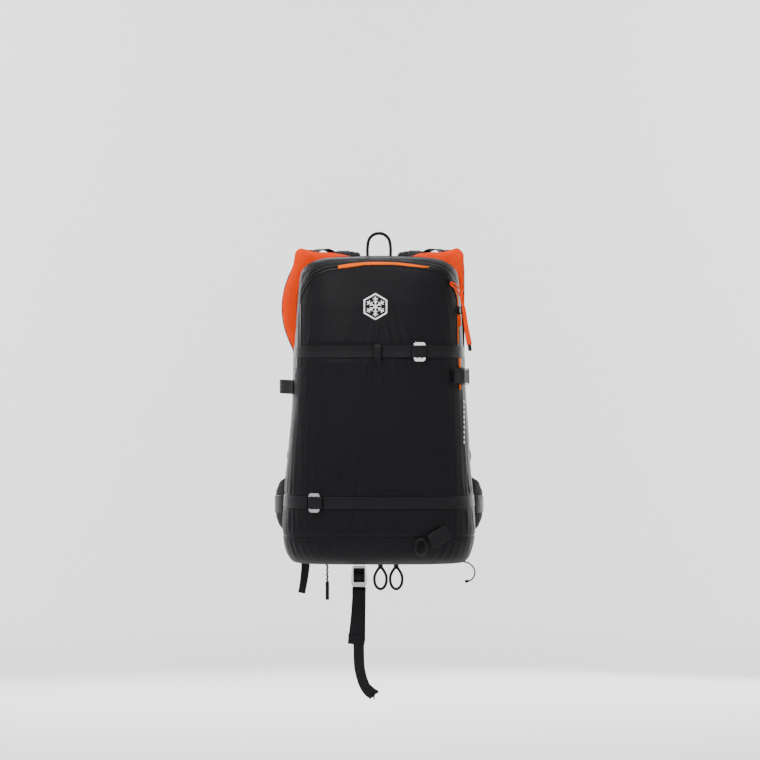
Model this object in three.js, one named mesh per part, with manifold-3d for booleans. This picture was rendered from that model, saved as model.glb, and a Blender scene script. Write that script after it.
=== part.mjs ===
// A ski-touring backpack with an avalanche airbag: a lofted fabric bag, a padded back with shoulder straps and hip
// belt, webbing with hook buckles for skis and tools, and the leg strap that hangs below it.
// Millimetres. +Z is up, -Y is the outer face of the bag, +Y is the wearer's side.
import * as THREE from "three";
import { mergeVertices } from "three/addons/utils/BufferGeometryUtils.js";
import Module from "manifold-3d";

const wasm = await Module();
wasm.setup();

// ---- driving dimensions -------------------------------------------------------------------------------------------

const HEIGHT = 520; // of the bag itself
const WALL = 4; // padded fabric
const GAP = 0.4; // between pieces that touch
const ZIP_GAP = 3; // the open line that the zip's teeth fill
const SIDE_DEPTH = 60; // the straight side behind the rounded front
const FRONT_POWER = 3.2; // squareness of the rounded front
const SEAM_BASE = 48; // top edge of the base panel
const SEAM_TOP = 470; // lower edge of the top panel at the sides
const FRONT_HALF = 133; // half width of the front panel and of the flap
const FLAP_CORNER = 60; // radius of the flap's top corners
const FLAP_TOP = 501; // height of the flap at its corners
const FLAP_CROWN = 7; // how much higher it is in the middle
const HINGE_Z = 372; // the line that the flap folds on
const ZIP_END = 334; // lower end of the zip on each side
const PIPING_ENDS = [-72, 88]; // the ends of the bright piping, across the bag
const AIRBAG_DEPTH = 44; // front to back, of the airbag's channel
const BACK_WALL = 2.6;
const SHEET_Y = BACK_WALL + GAP; // front of the frame sheet
const SHEET_THICK = 2;
const WIRE_RADIUS = 2;
const PAD_BACK = 27; // the flat face against the wearer
const MOUNT_Z = 311; // the middle of the back, where the part's origin is

// Height, half width and depth of the bag's outline.
const SECTIONS = [
  [0, 146, 150], [8, 154, 170], [17, 158, 180], [35, 163, 190], [60, 165, 196], [90, 163, 200], [130, 160, 201],
  [180, 155, 201], [230, 152, 199], [277, 149, 196], [370, 144, 186], [440, 140, 172], [480, 137, 158],
  [500, 133, 145], [511, 121, 130], [517, 107, 114], [HEIGHT, 90, 98],
];
const OUTSIDE = 300; // beyond the bag in every direction

// Each compression strap's height, the place of its hook across the bag, and how far it stands off the fabric.
const STRAPS = { upper: { z: 358, hookX: 67, off: 3.4 }, lower: { z: 106, hookX: -107, off: 1.8 } };
const WEBBING = { width: 20, thickness: 1.6 };
const HOOK = { width: 20, height: 32, thickness: 2.4, wire: 3.2 };
const CHEST_Z = 375; // height of the sternum strap

// ---- materials ----------------------------------------------------------------------------------------------------

const material = (color, roughness, metalness = 0) => new THREE.MeshStandardMaterial({ color, roughness, metalness });
const shellFabric = material(0x1b1b1e, 0.75);
const webbing = material(0x131216, 0.8);
const orangeFabric = material(0xff5a14, 0.65);
const foam = material(0x222226, 0.9);
const plastic = material(0x17171a, 0.45);
const metal = material(0xc9cbce, 0.3, 1);
const nylonSheet = material(0xd8d8d4, 0.5);
const rubber = material(0x1d1e20, 0.6);

const pack = new THREE.Group();

// ---- helpers ------------------------------------------------------------------------------------------------------

const at = (x, y, z) => new THREE.Vector3(x, y, z);
const mirrored = (points) => points.map((p) => at(-p.x, p.y, p.z));

function add(name, shape, look) {
  const geometry = shape.isBufferGeometry ? shape : geometryOf(shape);
  const mesh = new THREE.Mesh(geometry, look);
  mesh.name = name;
  pack.add(mesh);
  return mesh;
}

function solidOf(geometry) {
  const bare = (geometry.index ? geometry.toNonIndexed() : geometry.clone());
  bare.deleteAttribute("normal");
  bare.deleteAttribute("uv");
  const merged = mergeVertices(bare, 1e-3);
  const vertProperties = merged.attributes.position.array;
  const triVerts = new Uint32Array(merged.index.array);
  return new wasm.Manifold(new wasm.Mesh({ numProp: 3, vertProperties, triVerts }));
}

function geometryOf(solid) {
  const { numProp, vertProperties, triVerts } = solid.getMesh();
  const geometry = new THREE.BufferGeometry();
  const positions = new THREE.InterleavedBuffer(vertProperties, numProp);
  geometry.setAttribute("position", new THREE.InterleavedBufferAttribute(positions, 3, 0));
  geometry.setIndex(new THREE.BufferAttribute(triVerts, 1));
  return geometry.toNonIndexed();
}

// A closed surface through rings that all have the same number of points, with flat ends.
function loft(rings) {
  const n = rings[0].length;
  const points = rings.flat();
  const index = [];
  rings.slice(1).forEach((_, r) => {
    for (let i = 0; i < n; i++) {
      const a = r * n + i;
      const b = r * n + ((i + 1) % n);
      index.push(a, b, a + n, b, b + n, a + n);
    }
  });
  const last = (rings.length - 1) * n;
  for (let i = 1; i < n - 1; i++) {
    index.push(0, i + 1, i);
    index.push(last, last + i, last + i + 1);
  }
  const volume = index.reduce((sum, _, k) => {
    if (k % 3) return sum;
    const [p, q, s] = [points[index[k]], points[index[k + 1]], points[index[k + 2]]];
    return sum + p.dot(q.clone().cross(s));
  }, 0);
  if (volume < 0) {
    index.reverse();
  }
  return new THREE.BufferGeometry().setFromPoints(points).setIndex(index);
}

function box([x0, x1], [y0, y1], [z0, z1]) {
  const geometry = new THREE.BoxGeometry(x1 - x0, y1 - y0, z1 - z0);
  return geometry.translate((x0 + x1) / 2, (y0 + y1) / 2, (z0 + z1) / 2);
}

// A shape drawn in X and Z, as thick as from y0 to y1.
function plate(shape, y0, y1, curveSegments = 6) {
  const geometry = new THREE.ExtrudeGeometry(shape, { depth: y1 - y0, bevelEnabled: false, curveSegments });
  return geometry.rotateX(Math.PI / 2).translate(0, y1, 0);
}

// A flat strap or a padded one along a curve. side(t) is the direction of its width, half a width and half a
// thickness may change with t, and chamfer rounds its long edges.
function band({ path, side, halfWidth, halfThickness, steps = 16, chamfer = 0 }) {
  const curve = new THREE.CatmullRomCurve3(path);
  const value = (x, t) => (typeof x === "function" ? x(t) : x);
  const rings = [];
  for (let i = 0; i <= steps; i++) {
    const t = i / steps;
    const middle = curve.getPointAt(t);
    const along = curve.getTangentAt(t);
    const across = value(side, t).clone();
    across.addScaledVector(along, -across.dot(along)).normalize();
    const out = along.clone().cross(across);
    const w = value(halfWidth, t);
    const h = value(halfThickness, t);
    const corners = chamfer
      ? [[w - chamfer, h], [w, h - chamfer], [w, chamfer - h], [w - chamfer, -h],
         [chamfer - w, -h], [-w, chamfer - h], [-w, h - chamfer], [chamfer - w, h]]
      : [[w, h], [w, -h], [-w, -h], [-w, h]];
    rings.push(corners.map(([a, b]) => middle.clone().addScaledVector(across, a).addScaledVector(out, b)));
  }
  return loft(rings);
}

// A round cord or rod along a curve.
function rod(path, radius, steps, sides = 8) {
  const section = new THREE.Shape().absarc(0, 0, radius, 0, 2 * Math.PI);
  const extrudePath = new THREE.CatmullRomCurve3(path);
  return new THREE.ExtrudeGeometry(section, { extrudePath, steps, curveSegments: sides / 2, bevelEnabled: false });
}

function roundedRectangle(halfX, halfZ, radius, shape = new THREE.Shape()) {
  shape.absarc(halfX - radius, halfZ - radius, radius, 0, Math.PI / 2);
  shape.absarc(radius - halfX, halfZ - radius, radius, Math.PI / 2, Math.PI);
  shape.absarc(radius - halfX, radius - halfZ, radius, Math.PI, 1.5 * Math.PI);
  shape.absarc(halfX - radius, radius - halfZ, radius, 1.5 * Math.PI, 2 * Math.PI);
  return shape;
}

// ---- the bag's outline --------------------------------------------------------------------------------------------

// Half width and depth at a height.
function sizeAt(z) {
  const next = Math.max(1, SECTIONS.findIndex(([height]) => height >= z));
  const [z0, a0, d0] = SECTIONS[next - 1];
  const [z1, a1, d1] = SECTIONS[next];
  const t = THREE.MathUtils.clamp((z - z0) / (z1 - z0), 0, 1);
  return { halfWidth: a0 + t * (a1 - a0), depth: d0 + t * (d1 - d0) };
}

// The y of the rounded front at a place across it and a height.
function frontY(x, z) {
  const { halfWidth, depth } = sizeAt(z);
  const share = Math.min(1, Math.abs(x) / halfWidth);
  return -SIDE_DEPTH - (depth - SIDE_DEPTH) * (1 - share ** FRONT_POWER) ** (1 / FRONT_POWER);
}

// How far the front has turned round, as an angle, at a place across it.
const slopeAt = (x, z) => Math.atan2(frontY(x + 3, z) - frontY(x - 3, z), 6);

// The outline at one height, from the left back corner round the front to the right back corner.
function outline(halfWidth, depth, backY, points = 24) {
  const half = [];
  for (let i = 0; i <= points; i++) {
    const angle = Math.PI + (i / points) * Math.PI;
    const round = (value) => Math.sign(value) * Math.abs(value) ** (2 / FRONT_POWER);
    half.push([halfWidth * round(Math.cos(angle)), -SIDE_DEPTH + (depth - SIDE_DEPTH) * round(Math.sin(angle))]);
  }
  return [[4 - halfWidth, backY], [1 - halfWidth, -24], ...half, [halfWidth - 1, -24], [halfWidth - 4, backY]];
}

// The whole bag as one solid, grown or, with a negative number, shrunk, reaching back to backY.
function bag(grow, backY) {
  const bottom = SECTIONS[0][0] - grow;
  const scale = (HEIGHT + 2 * grow) / HEIGHT;
  return solidOf(loft(SECTIONS.map(([z, halfWidth, depth]) =>
    outline(halfWidth + grow, depth + grow, backY).map(([x, y]) => at(x, y, bottom + z * scale)))));
}

// The flap's outline, grown by some millimetres, from a lower edge upwards.
function windowShape(grow, lowest) {
  const side = FRONT_HALF + grow;
  const radius = FLAP_CORNER + grow;
  const corner = FLAP_TOP - FLAP_CORNER;
  const shape = new THREE.Shape();
  shape.moveTo(-side, lowest);
  shape.lineTo(side, lowest);
  shape.absarc(side - radius, corner, radius, 0, Math.PI / 2);
  shape.quadraticCurveTo(0, FLAP_TOP + 2 * FLAP_CROWN + grow, radius - side, FLAP_TOP + grow);
  shape.absarc(radius - side, corner, radius, Math.PI / 2, Math.PI);
  return shape;
}

// The airbag's channel runs up one side, over the top and down the other. Its top corners are pulled up by the load
// lifters, and it swells out more on the left. Each bulge is the place that its side's curve leans towards.
const CHANNEL = {
  bottom: 362, foot: 147, half: 146, corner: 538, middle: 521, inner: 116, innerTop: 484, innerRadius: 30, lip: 3,
  bulge: { left: 185, right: 147, z: 440 },
};

// Adds the channel's outer edge to a shape, from its lower right end over the top to its lower left end.
function addChannelEdge(shape, grow, low) {
  const side = CHANNEL.half + grow;
  const corner = CHANNEL.corner + grow;
  const middle = CHANNEL.middle + grow;
  const start = CHANNEL.corner - 20;
  const { left, right, z } = CHANNEL.bulge;
  shape.lineTo(CHANNEL.foot + grow, low);
  shape.quadraticCurveTo(right + grow, z, side, start);
  shape.quadraticCurveTo(side, corner, side - 16, corner);
  shape.quadraticCurveTo(60, middle, 0, middle);
  shape.quadraticCurveTo(-60, middle, 16 - side, corner);
  shape.quadraticCurveTo(-side, corner, -side, start);
  shape.quadraticCurveTo(-left - grow, z, -CHANNEL.foot - grow, low);
}

function channelShape(grow, end = 0) {
  const inner = CHANNEL.inner - grow;
  const low = CHANNEL.bottom - end;
  const radius = CHANNEL.innerRadius;
  const bend = CHANNEL.innerTop - radius;
  const shape = new THREE.Shape();
  shape.moveTo(inner, low);
  addChannelEdge(shape, grow, low);
  shape.lineTo(-inner, low);
  shape.absarc(radius - inner, bend, radius, Math.PI, Math.PI / 2, true);
  shape.absarc(inner - radius, bend, radius, Math.PI / 2, 0, true);
  return shape;
}

// ---- the bag's panels ---------------------------------------------------------------------------------------------

// Everything in front of y, between two heights and two places across the bag.
const slab = ([x0, x1], y, [z0, z1]) => solidOf(box([x0, x1], [-OUTSIDE, y], [z0, z1]));

function addBag() {
  const behind = PAD_BACK;
  const channelRoom = solidOf(plate(channelShape(GAP, GAP), -AIRBAG_DEPTH - GAP, behind));
  const channelWall = solidOf(plate(channelShape(GAP + WALL, GAP + WALL), -AIRBAG_DEPTH - GAP - WALL, behind));
  const outer = bag(0, -GAP).subtract(channelRoom);
  const inner = bag(-WALL, behind).subtract(channelWall);
  const shell = outer.subtract(inner);

  const frontOnly = -70;
  const everywhere = [-OUTSIDE, OUTSIDE];
  const low = slab(everywhere, behind, [-OUTSIDE, SEAM_BASE]);
  const lowRoom = slab(everywhere, behind, [-OUTSIDE, SEAM_BASE + GAP]);
  const flapCut = solidOf(plate(windowShape(0, HINGE_Z), -OUTSIDE, frontOnly));
  const flapRoom = solidOf(plate(windowShape(ZIP_GAP, HINGE_Z - GAP), -OUTSIDE, frontOnly + 1));
  const frontCut = slab([-FRONT_HALF, FRONT_HALF], frontOnly, [SEAM_BASE + GAP, HINGE_Z - 2 * GAP]);
  const frontRoom = slab([-FRONT_HALF - GAP, FRONT_HALF + GAP], frontOnly + 1, [SEAM_BASE, HINGE_Z]);

  add("base_panel", shell.intersect(low), shellFabric);
  add("front_panel", shell.intersect(frontCut), shellFabric);
  add("front_flap", shell.intersect(flapCut), shellFabric);
  const rest = shell.subtract(lowRoom).subtract(flapRoom).subtract(frontRoom);
  add("side_panel_left", rest.intersect(slab([-OUTSIDE, 0], behind, [0, SEAM_TOP])), shellFabric);
  add("side_panel_right", rest.intersect(slab([0, OUTSIDE], behind, [0, SEAM_TOP])), shellFabric);
  add("top_panel", rest.intersect(slab(everywhere, behind, [SEAM_TOP + GAP, 2 * HEIGHT])), shellFabric);
}

// The flap's zip: the tape on the bag's side of the teeth, and the bright piping over the flap's top edge.
function addZip() {
  const inside = 20;
  const tapeLayer = bag(1.8, -GAP).subtract(bag(0.6, inside));
  const tapeOuter = solidOf(plate(windowShape(ZIP_GAP + 11, ZIP_END), -OUTSIDE, -75, 5));
  const tapeInner = solidOf(plate(windowShape(ZIP_GAP + 4, ZIP_END - 10), -OUTSIDE, -70, 5));
  add("zip_tape", tapeLayer.intersect(tapeOuter).subtract(tapeInner), webbing);

  const pipingLayer = bag(2.2, -GAP).subtract(bag(0.6, inside));
  const pipingOuter = solidOf(plate(windowShape(-1, HINGE_Z), -OUTSIDE, -75, 5));
  const pipingInner = solidOf(plate(windowShape(-7, ZIP_END), -OUTSIDE, -70, 5));
  const middle = slab(PIPING_ENDS, 0, [SEAM_TOP, 2 * HEIGHT]);
  add("zip_piping", pipingLayer.intersect(pipingOuter).subtract(pipingInner).intersect(middle), orangeFabric);
}

// The orange channel that holds the folded airbag: open at the back, where the back wall closes it.
function addAirbag() {
  const cover = solidOf(plate(channelShape(0), -AIRBAG_DEPTH, -GAP));
  const room = solidOf(plate(channelShape(-CHANNEL.lip, -CHANNEL.lip), -AIRBAG_DEPTH + CHANNEL.lip, 10));
  add("airbag_cover", cover.subtract(room), orangeFabric);
  const inset = -CHANNEL.lip - 0.6;
  add("folded_airbag", plate(channelShape(inset, inset), -AIRBAG_DEPTH + CHANNEL.lip + 0.6, -1.2), orangeFabric);

  // The gas cartridge, screwed into the valve above it.
  const profile = [
    [0, 0], [17, 0], [25, 8], [25, 160], [20, 176], [10, 186], [10, 192], [16, 192], [16, 230], [12, 236], [12, 260],
    [17, 264], [17, 280], [0, 280],
  ].map(([r, z]) => new THREE.Vector2(r, z));
  add("inflator", new THREE.LatheGeometry(profile, 14).rotateX(Math.PI / 2).translate(-108, -38, 54), metal);
}

// ---- the back -----------------------------------------------------------------------------------------------------

const CABLE_HOLE = { x: -113, z: 318, radius: 5 };

function backWallShape() {
  const shape = new THREE.Shape();
  shape.moveTo(-132, 2);
  shape.lineTo(132, 2);
  shape.quadraticCurveTo(158, 6, 161, 45);
  shape.quadraticCurveTo(160, 130, 150, 230);
  addChannelEdge(shape, -1, CHANNEL.bottom);
  shape.lineTo(-150, 230);
  shape.quadraticCurveTo(-160, 130, -161, 45);
  shape.quadraticCurveTo(-158, 6, -132, 2);
  shape.holes.push(new THREE.Path().absarc(CABLE_HOLE.x, CABLE_HOLE.z, CABLE_HOLE.radius, 0, 2 * Math.PI, true));
  return shape;
}

function addBack() {
  add("back_wall", plate(backWallShape(), 0, BACK_WALL), shellFabric);
  const sleeve = plate(roundedRectangle(112, 138, 20), -152, -149.5).translate(0, 0, 192);
  add("shovel_sleeve", sleeve, orangeFabric);

  const sheet = plate(roundedRectangle(104, 210, 30), SHEET_Y, SHEET_Y + SHEET_THICK).translate(0, 0, 265);
  add("frame_sheet", sheet, nylonSheet);

  const wireY = SHEET_Y + SHEET_THICK + GAP + WIRE_RADIUS;
  const leg = 88;
  const top = 452;
  const bend = 22;
  const right = [at(leg, wireY, 156), at(leg, wireY, 260), at(leg, wireY, 360), at(leg, wireY, top - bend),
    at(leg - 6, wireY, top - 6), at(leg - bend, wireY, top)];
  const path = [...right, at(0, wireY, top), ...mirrored(right).reverse()];
  add("frame_wire", rod(path, WIRE_RADIUS, 48, 6), metal);

  const padFront = wireY + WIRE_RADIUS + GAP;
  add("back_pad", plate(roundedRectangle(100, 144, 26), padFront, PAD_BACK).translate(0, 0, 304), foam);
  const lumbarFront = SHEET_Y + SHEET_THICK + GAP;
  add("lumbar_pad", plate(roundedRectangle(136, 55, 24), lumbarFront, PAD_BACK + 4).translate(0, 0, 94), foam);
}

// ---- the harness --------------------------------------------------------------------------------------------------

const STRAP = { halfThickness: 7, chamfer: 3.5 };
const STRAP_PATH = [
  at(56, 14, 462), at(57, 24, 492), at(60, 42, 519), at(63, 70, 532), at(67, 98, 518), at(72, 114, 484),
  at(77, 119, 450), at(81, 119, 400), at(86, 119, 345), at(97, 115, 305), at(112, 106, 268), at(128, 96, 243),
];
const strapHalfWidth = (t) => 29 - 7 * t * t;

function addShoulderStrap(side, flip) {
  const path = STRAP_PATH.map((p) => at(p.x * flip, p.y, p.z));
  const across = () => at(1, 0, 0);
  add(`shoulder_strap_${side}`, band({
    path, side: across, halfWidth: strapHalfWidth, halfThickness: STRAP.halfThickness, steps: 22,
    chamfer: STRAP.chamfer,
  }), foam);

  // From the padded strap's top forward to the bag's top corner.
  const lifter = [at(74, 86, 541), at(92, 62, 543), at(112, 34, 536), at(127, 12, 520), at(131, 5.5, 500)]
    .map((p) => at(p.x * flip, p.y, p.z));
  add(`load_lifter_${side}`, band({
    path: lifter, side: (t) => at(0.8, 0.55 * flip * (1 - t), 0), halfWidth: 8,
    halfThickness: WEBBING.thickness / 2, steps: 12,
  }), webbing);

  // The ladder buckle at the padded strap's lower end.
  const frameShape = roundedRectangle(15, 12, 3);
  for (const slotZ of [-5.5, 3.5]) {
    const slot = roundedRectangle(10.5, 1.8, 1, new THREE.Path());
    const points = slot.getPoints(2).map((p) => new THREE.Vector2(p.x, p.y + slotZ));
    frameShape.holes.push(new THREE.Path(points));
  }
  const adjuster = plate(frameShape, -2.5, 2.5, 2);
  adjuster.rotateX(-0.32).rotateY(0.45 * flip).translate(138 * flip, 89.5, 225);
  add(`strap_adjuster_${side}`, adjuster, plastic);

  // The webbing from there back to the bag's side.
  const lower = [at(145, 82, 204), at(151, 74, 192), at(157, 48, 172), at(156, 22, 162), at(150, 5.6, 160)]
    .map((p) => at(p.x * flip, p.y, p.z));
  add(`lower_webbing_${side}`, band({
    path: lower, side: () => at(0.35 * flip, 0, 1), halfWidth: 10, halfThickness: WEBBING.thickness / 2, steps: 14,
  }), webbing);
}

// Each wing of the hip belt bends at the bag's side; its webbing ends in one half of the buckle.
const WING_HINGE = { x: 150, y: 15 };

function addHipWing(side, flip) {
  const path = [
    at(156, 18, 94), at(167, 38, 94), at(175, 78, 92), at(172, 122, 91), at(156, 162, 90), at(132, 190, 90),
  ].map((p) => at(p.x * flip, p.y, p.z));
  const up = () => at(0, 0, 1);
  add(`hip_wing_${side}`, band({
    path, side: up, halfWidth: (t) => 50 - 56 * t + 30 * t * t, halfThickness: 6.5, steps: 18, chamfer: 3,
  }), foam);
  const strap = [at(129, 194, 90), at(113, 207, 89), at(94, 215.5, 88), at(73, 218.5, 88)]
    .map((p) => at(p.x * flip, p.y, p.z));
  add(`hip_webbing_${side}`, band({
    path: strap, side: up, halfWidth: 17, halfThickness: WEBBING.thickness / 2, steps: 8,
  }), webbing);
}

// The two halves of a side-release buckle, drawn round its middle with the plug pushed in along -X.
function socketSolid(length, height, thickness) {
  const outside = solidOf(box([-length, 0], [-thickness / 2, thickness / 2], [-height / 2, height / 2]));
  const deep = thickness / 2 - 2;
  const room = solidOf(box([-length + 4, 5], [-deep, deep], [-height / 2 + 3, height / 2 - 3]));
  return outside.subtract(room);
}

function plugSolid(length, height, thickness) {
  const half = height / 2 - 4;
  const reach = length - 6;
  const shape = new THREE.Shape();
  shape.moveTo(9, -height / 2);
  shape.lineTo(9, height / 2);
  shape.lineTo(1, height / 2);
  shape.lineTo(1, half);
  shape.lineTo(-reach + 4, half);
  shape.lineTo(-reach, half - 4);
  shape.lineTo(2 - reach, half - 7);
  shape.lineTo(-4, half - 5);
  shape.lineTo(-2, 2);
  shape.lineTo(-reach + 3, 1.5);
  shape.lineTo(-reach + 3, -1.5);
  shape.lineTo(-2, -2);
  shape.lineTo(-4, 5 - half);
  shape.lineTo(2 - reach, 7 - half);
  shape.lineTo(-reach, 4 - half);
  shape.lineTo(4 - reach, -half);
  shape.lineTo(1, -half);
  shape.lineTo(1, -height / 2);
  return solidOf(plate(shape, -thickness / 2 + 2.4, thickness / 2 - 2.4));
}

function addBuckles() {
  const hip = { length: 38, height: 44, thickness: 11 };
  const socket = socketSolid(hip.length, hip.height, hip.thickness);
  const plug = plugSolid(hip.length, hip.height, hip.thickness);
  const hipY = 218.8;
  add("hip_socket", socket.translate([-34, hipY, 88]), plastic);
  add("hip_plug", plug.translate([63, hipY, 88]), plastic);

  const chest = { length: 30, height: 26, thickness: 9 };
  const chestY = 133;
  const place = [8, chestY, CHEST_Z];
  add("sternum_socket", socketSolid(chest.length, chest.height, chest.thickness).translate(place), plastic);
  add("sternum_plug", plugSolid(chest.length, chest.height, chest.thickness).translate(place), plastic);
  const half = WEBBING.width / 2;
  const thick = [chestY - WEBBING.thickness / 2, chestY + WEBBING.thickness / 2];
  const slider = (x) => solidOf(box([x - 7, x + 7], [chestY - 5.1, chestY - 0.8], [CHEST_Z - 13, CHEST_Z + 13]));
  const strap = (from, to) => solidOf(box([from, to], thick, [CHEST_Z - half, CHEST_Z + half]));
  add("sternum_strap_left", strap(-69, -22.5).add(slider(-64)), webbing);
  add("sternum_slider_right", slider(64), plastic);
  add("sternum_strap_right", strap(17.5, 92).translate([0, 0.4, 0]), webbing);
}

// The release handle on the left strap, and the sheathed cable from the inflator over the shoulder to it.
function addTrigger() {
  const cable = [
    at(-108, -20, 318), at(-111, -8, 318), at(CABLE_HOLE.x, 4, CABLE_HOLE.z), at(-115, 11, 328), at(-116, 13, 360),
    at(-114, 13, 400), at(-110, 13, 440), at(-100, 15, 464), at(-92, 24, 486), at(-93, 42, 517), at(-96, 62, 531),
    at(-98, 84, 531), at(-99, 102, 520), at(-97, 116, 506), at(-92, 125, 495), at(-84, 130, 487), at(-78, 131, 478),
  ];
  add("release_cable", rod(cable, 2.5, 60, 6), rubber);

  const shape = new THREE.Shape();
  shape.moveTo(-4, 0);
  shape.lineTo(-5, -34);
  shape.lineTo(-20, -38);
  shape.quadraticCurveTo(-24, -46, -18, -52);
  shape.quadraticCurveTo(0, -58, 18, -52);
  shape.quadraticCurveTo(24, -46, 20, -38);
  shape.lineTo(5, -34);
  shape.lineTo(4, 0);
  const end = cable[cable.length - 1];
  add("trigger_handle", plate(shape, -3.5, 3.5, 4).translate(end.x, end.y + 0.4, end.z - 1.8), orangeFabric);
}

function addHaulLoop() {
  const half = 20;
  const foot = CHANNEL.middle + 5;
  const side = [at(half, 6, foot), at(half, 6, foot + 16), at(half - 3, 6, foot + 30), at(half - 11, 6, foot + 38)];
  const path = [...side, at(0, 6, foot + 40), ...mirrored(side).reverse()];
  add("haul_loop", band({
    path, side: () => at(0, 1, 0), halfWidth: 5, halfThickness: 2.5, steps: 22,
  }), webbing);
}

// ---- webbing round the bag ----------------------------------------------------------------------------------------

// Points of the bag's outline at a height, pushed out by lift(share along it), between two places on it.
function along(z, from, to, lift, count) {
  const { halfWidth, depth } = sizeAt(z);
  const line = outline(halfWidth, depth, -GAP, 160).map(([x, y]) => new THREE.Vector2(x, y));
  const nearest = ({ x, y }) => line.reduce((best, p, i) =>
    (Math.hypot(p.x - x, p.y - y) < Math.hypot(line[best].x - x, line[best].y - y) ? i : best), 0);
  const curve = new THREE.SplineCurve(line.slice(nearest(from), nearest(to) + 1));
  const points = [];
  for (let k = 0; k <= count; k++) {
    const t = k / count;
    const tangent = curve.getTangentAt(t);
    points.push(curve.getPointAt(t).addScaledVector(new THREE.Vector2(tangent.y, -tangent.x), lift(t)));
  }
  return points;
}

function wrap(z, halfHeight, from, to, lift, thickness = WEBBING.thickness, count = 24) {
  const inside = along(z, from, to, lift, count);
  const outside = along(z, from, to, (t) => lift(t) + thickness, count);
  const shape = new THREE.Shape([...inside, ...outside.reverse()]);
  const geometry = new THREE.ExtrudeGeometry(shape, { depth: 2 * halfHeight, bevelEnabled: false });
  return geometry.translate(0, 0, z - halfHeight);
}

const onFront = (x, z) => ({ x, y: frontY(x, z) });

// A hook buckle, flat on the bag's front at a place across it.
function hookBuckle(x, z, away) {
  const shape = roundedRectangle(HOOK.width / 2, HOOK.height / 2, 5);
  for (const slotX of [-3.9, 3.9]) {
    const slot = roundedRectangle(1.8, HOOK.height / 2 - HOOK.wire - 2, 1.2, new THREE.Path());
    shape.holes.push(new THREE.Path(slot.getPoints(2).map((p) => new THREE.Vector2(p.x + slotX, p.y))));
  }
  const slope = slopeAt(x, z);
  const out = new THREE.Vector2(Math.sin(slope), -Math.cos(slope));
  const y = frontY(x, z) + out.y * away;
  return plate(shape, -HOOK.thickness / 2, HOOK.thickness / 2, 3).rotateZ(slope).translate(x + out.x * away, y, z);
}

function addCompressionStraps() {
  const half = WEBBING.width / 2;
  const reach = HOOK.width / 2 + 1.8;
  for (const [name, { z, hookX, off }] of Object.entries(STRAPS)) {
    const lift = () => off;
    const leftEnd = { x: -150, y: -66 };
    const rightEnd = { x: 150, y: -66 };
    add(`${name}_strap_left`, wrap(z, half, leftEnd, onFront(hookX - reach, z), lift), webbing);
    add(`${name}_strap_right`, wrap(z, half, onFront(hookX + reach, z), rightEnd, lift), webbing);
    add(`${name}_hook`, hookBuckle(hookX, z, off + WEBBING.thickness / 2), metal);
  }

  // The upright loop that keeps a tool's shaft and the upper strap in place.
  const keeper = [[337, 1.4], [342, 3], [347, 7.2], [358, 7.6], [368.6, 7.4], [371, 4.4]]
    .map(([z, off]) => at(-3, frontY(-3, z) - off, z));
  add("tool_keeper", band({
    path: keeper, side: () => at(1, 0, 0), halfWidth: 6, halfThickness: 0.7, steps: 12,
  }), webbing);

  // Webbing on the bag's sides: a wide loop that stands off, for skis, and a folded end of strap.
  const loop = (t) => 1.2 + 20 * Math.sin(Math.PI * t) ** 2;
  add("side_loop", wrap(299, 12, { x: -150, y: -28 }, { x: -140, y: -120 }, loop, 1.8), webbing);
  const bundle = (t) => 1.4 + 3 * Math.sin(Math.PI * t) ** 2;
  add("folded_strap", wrap(317, 12, { x: 118, y: -160 }, { x: 150, y: -84 }, bundle, 5), webbing);
}

// The loop at the lower front for the tail of a pair of skis, folded flat to the bag. It hangs from its right edge.
const SKI_LOOP = { x: 101, z: 50, slant: 0.49 };

function addSkiLoop() {
  const shape = roundedRectangle(19, 12.5, 3);
  const loop = plate(shape, -1.5, 1.5, 3).rotateY(-SKI_LOOP.slant).rotateZ(slopeAt(SKI_LOOP.x, SKI_LOOP.z));
  loop.translate(SKI_LOOP.x, frontY(SKI_LOOP.x, 75) - 3.4, SKI_LOOP.z);
  add("ski_loop", loop, webbing);
}

// A small round loop beside it, and the mark on the flap.
const RING_LOOP = { x: 70, z: 33 };

function addFrontTrim() {
  const rope = new THREE.TorusGeometry(9.2, 2.2, 6, 18).rotateX(Math.PI / 2).scale(1, 1, 1.4);
  add("ring_loop", rope.translate(RING_LOOP.x, frontY(RING_LOOP.x, SEAM_BASE) - 3.4, RING_LOOP.z), webbing);

  const radius = 22;
  const mark = new THREE.Shape();
  mark.moveTo(0, radius);
  for (let i = 1; i < 6; i++) {
    mark.lineTo(radius * Math.sin((i * Math.PI) / 3), radius * Math.cos((i * Math.PI) / 3));
  }
  const [x, z] = [-6, 434];
  const lean = Math.atan2(frontY(x, z + 20) - frontY(x, z - 20), 40);
  add("emblem", plate(mark, -0.4, 0.4).rotateX(-lean).translate(x, frontY(x, z) - 1.9, z), metal);
}

// ---- what hangs below ---------------------------------------------------------------------------------------------

const LEG = { x: -34.4, y: -30, hookTop: -11, hookHeight: 35, hookWidth: 27.6, window: 22, lowBar: 8 };

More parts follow.
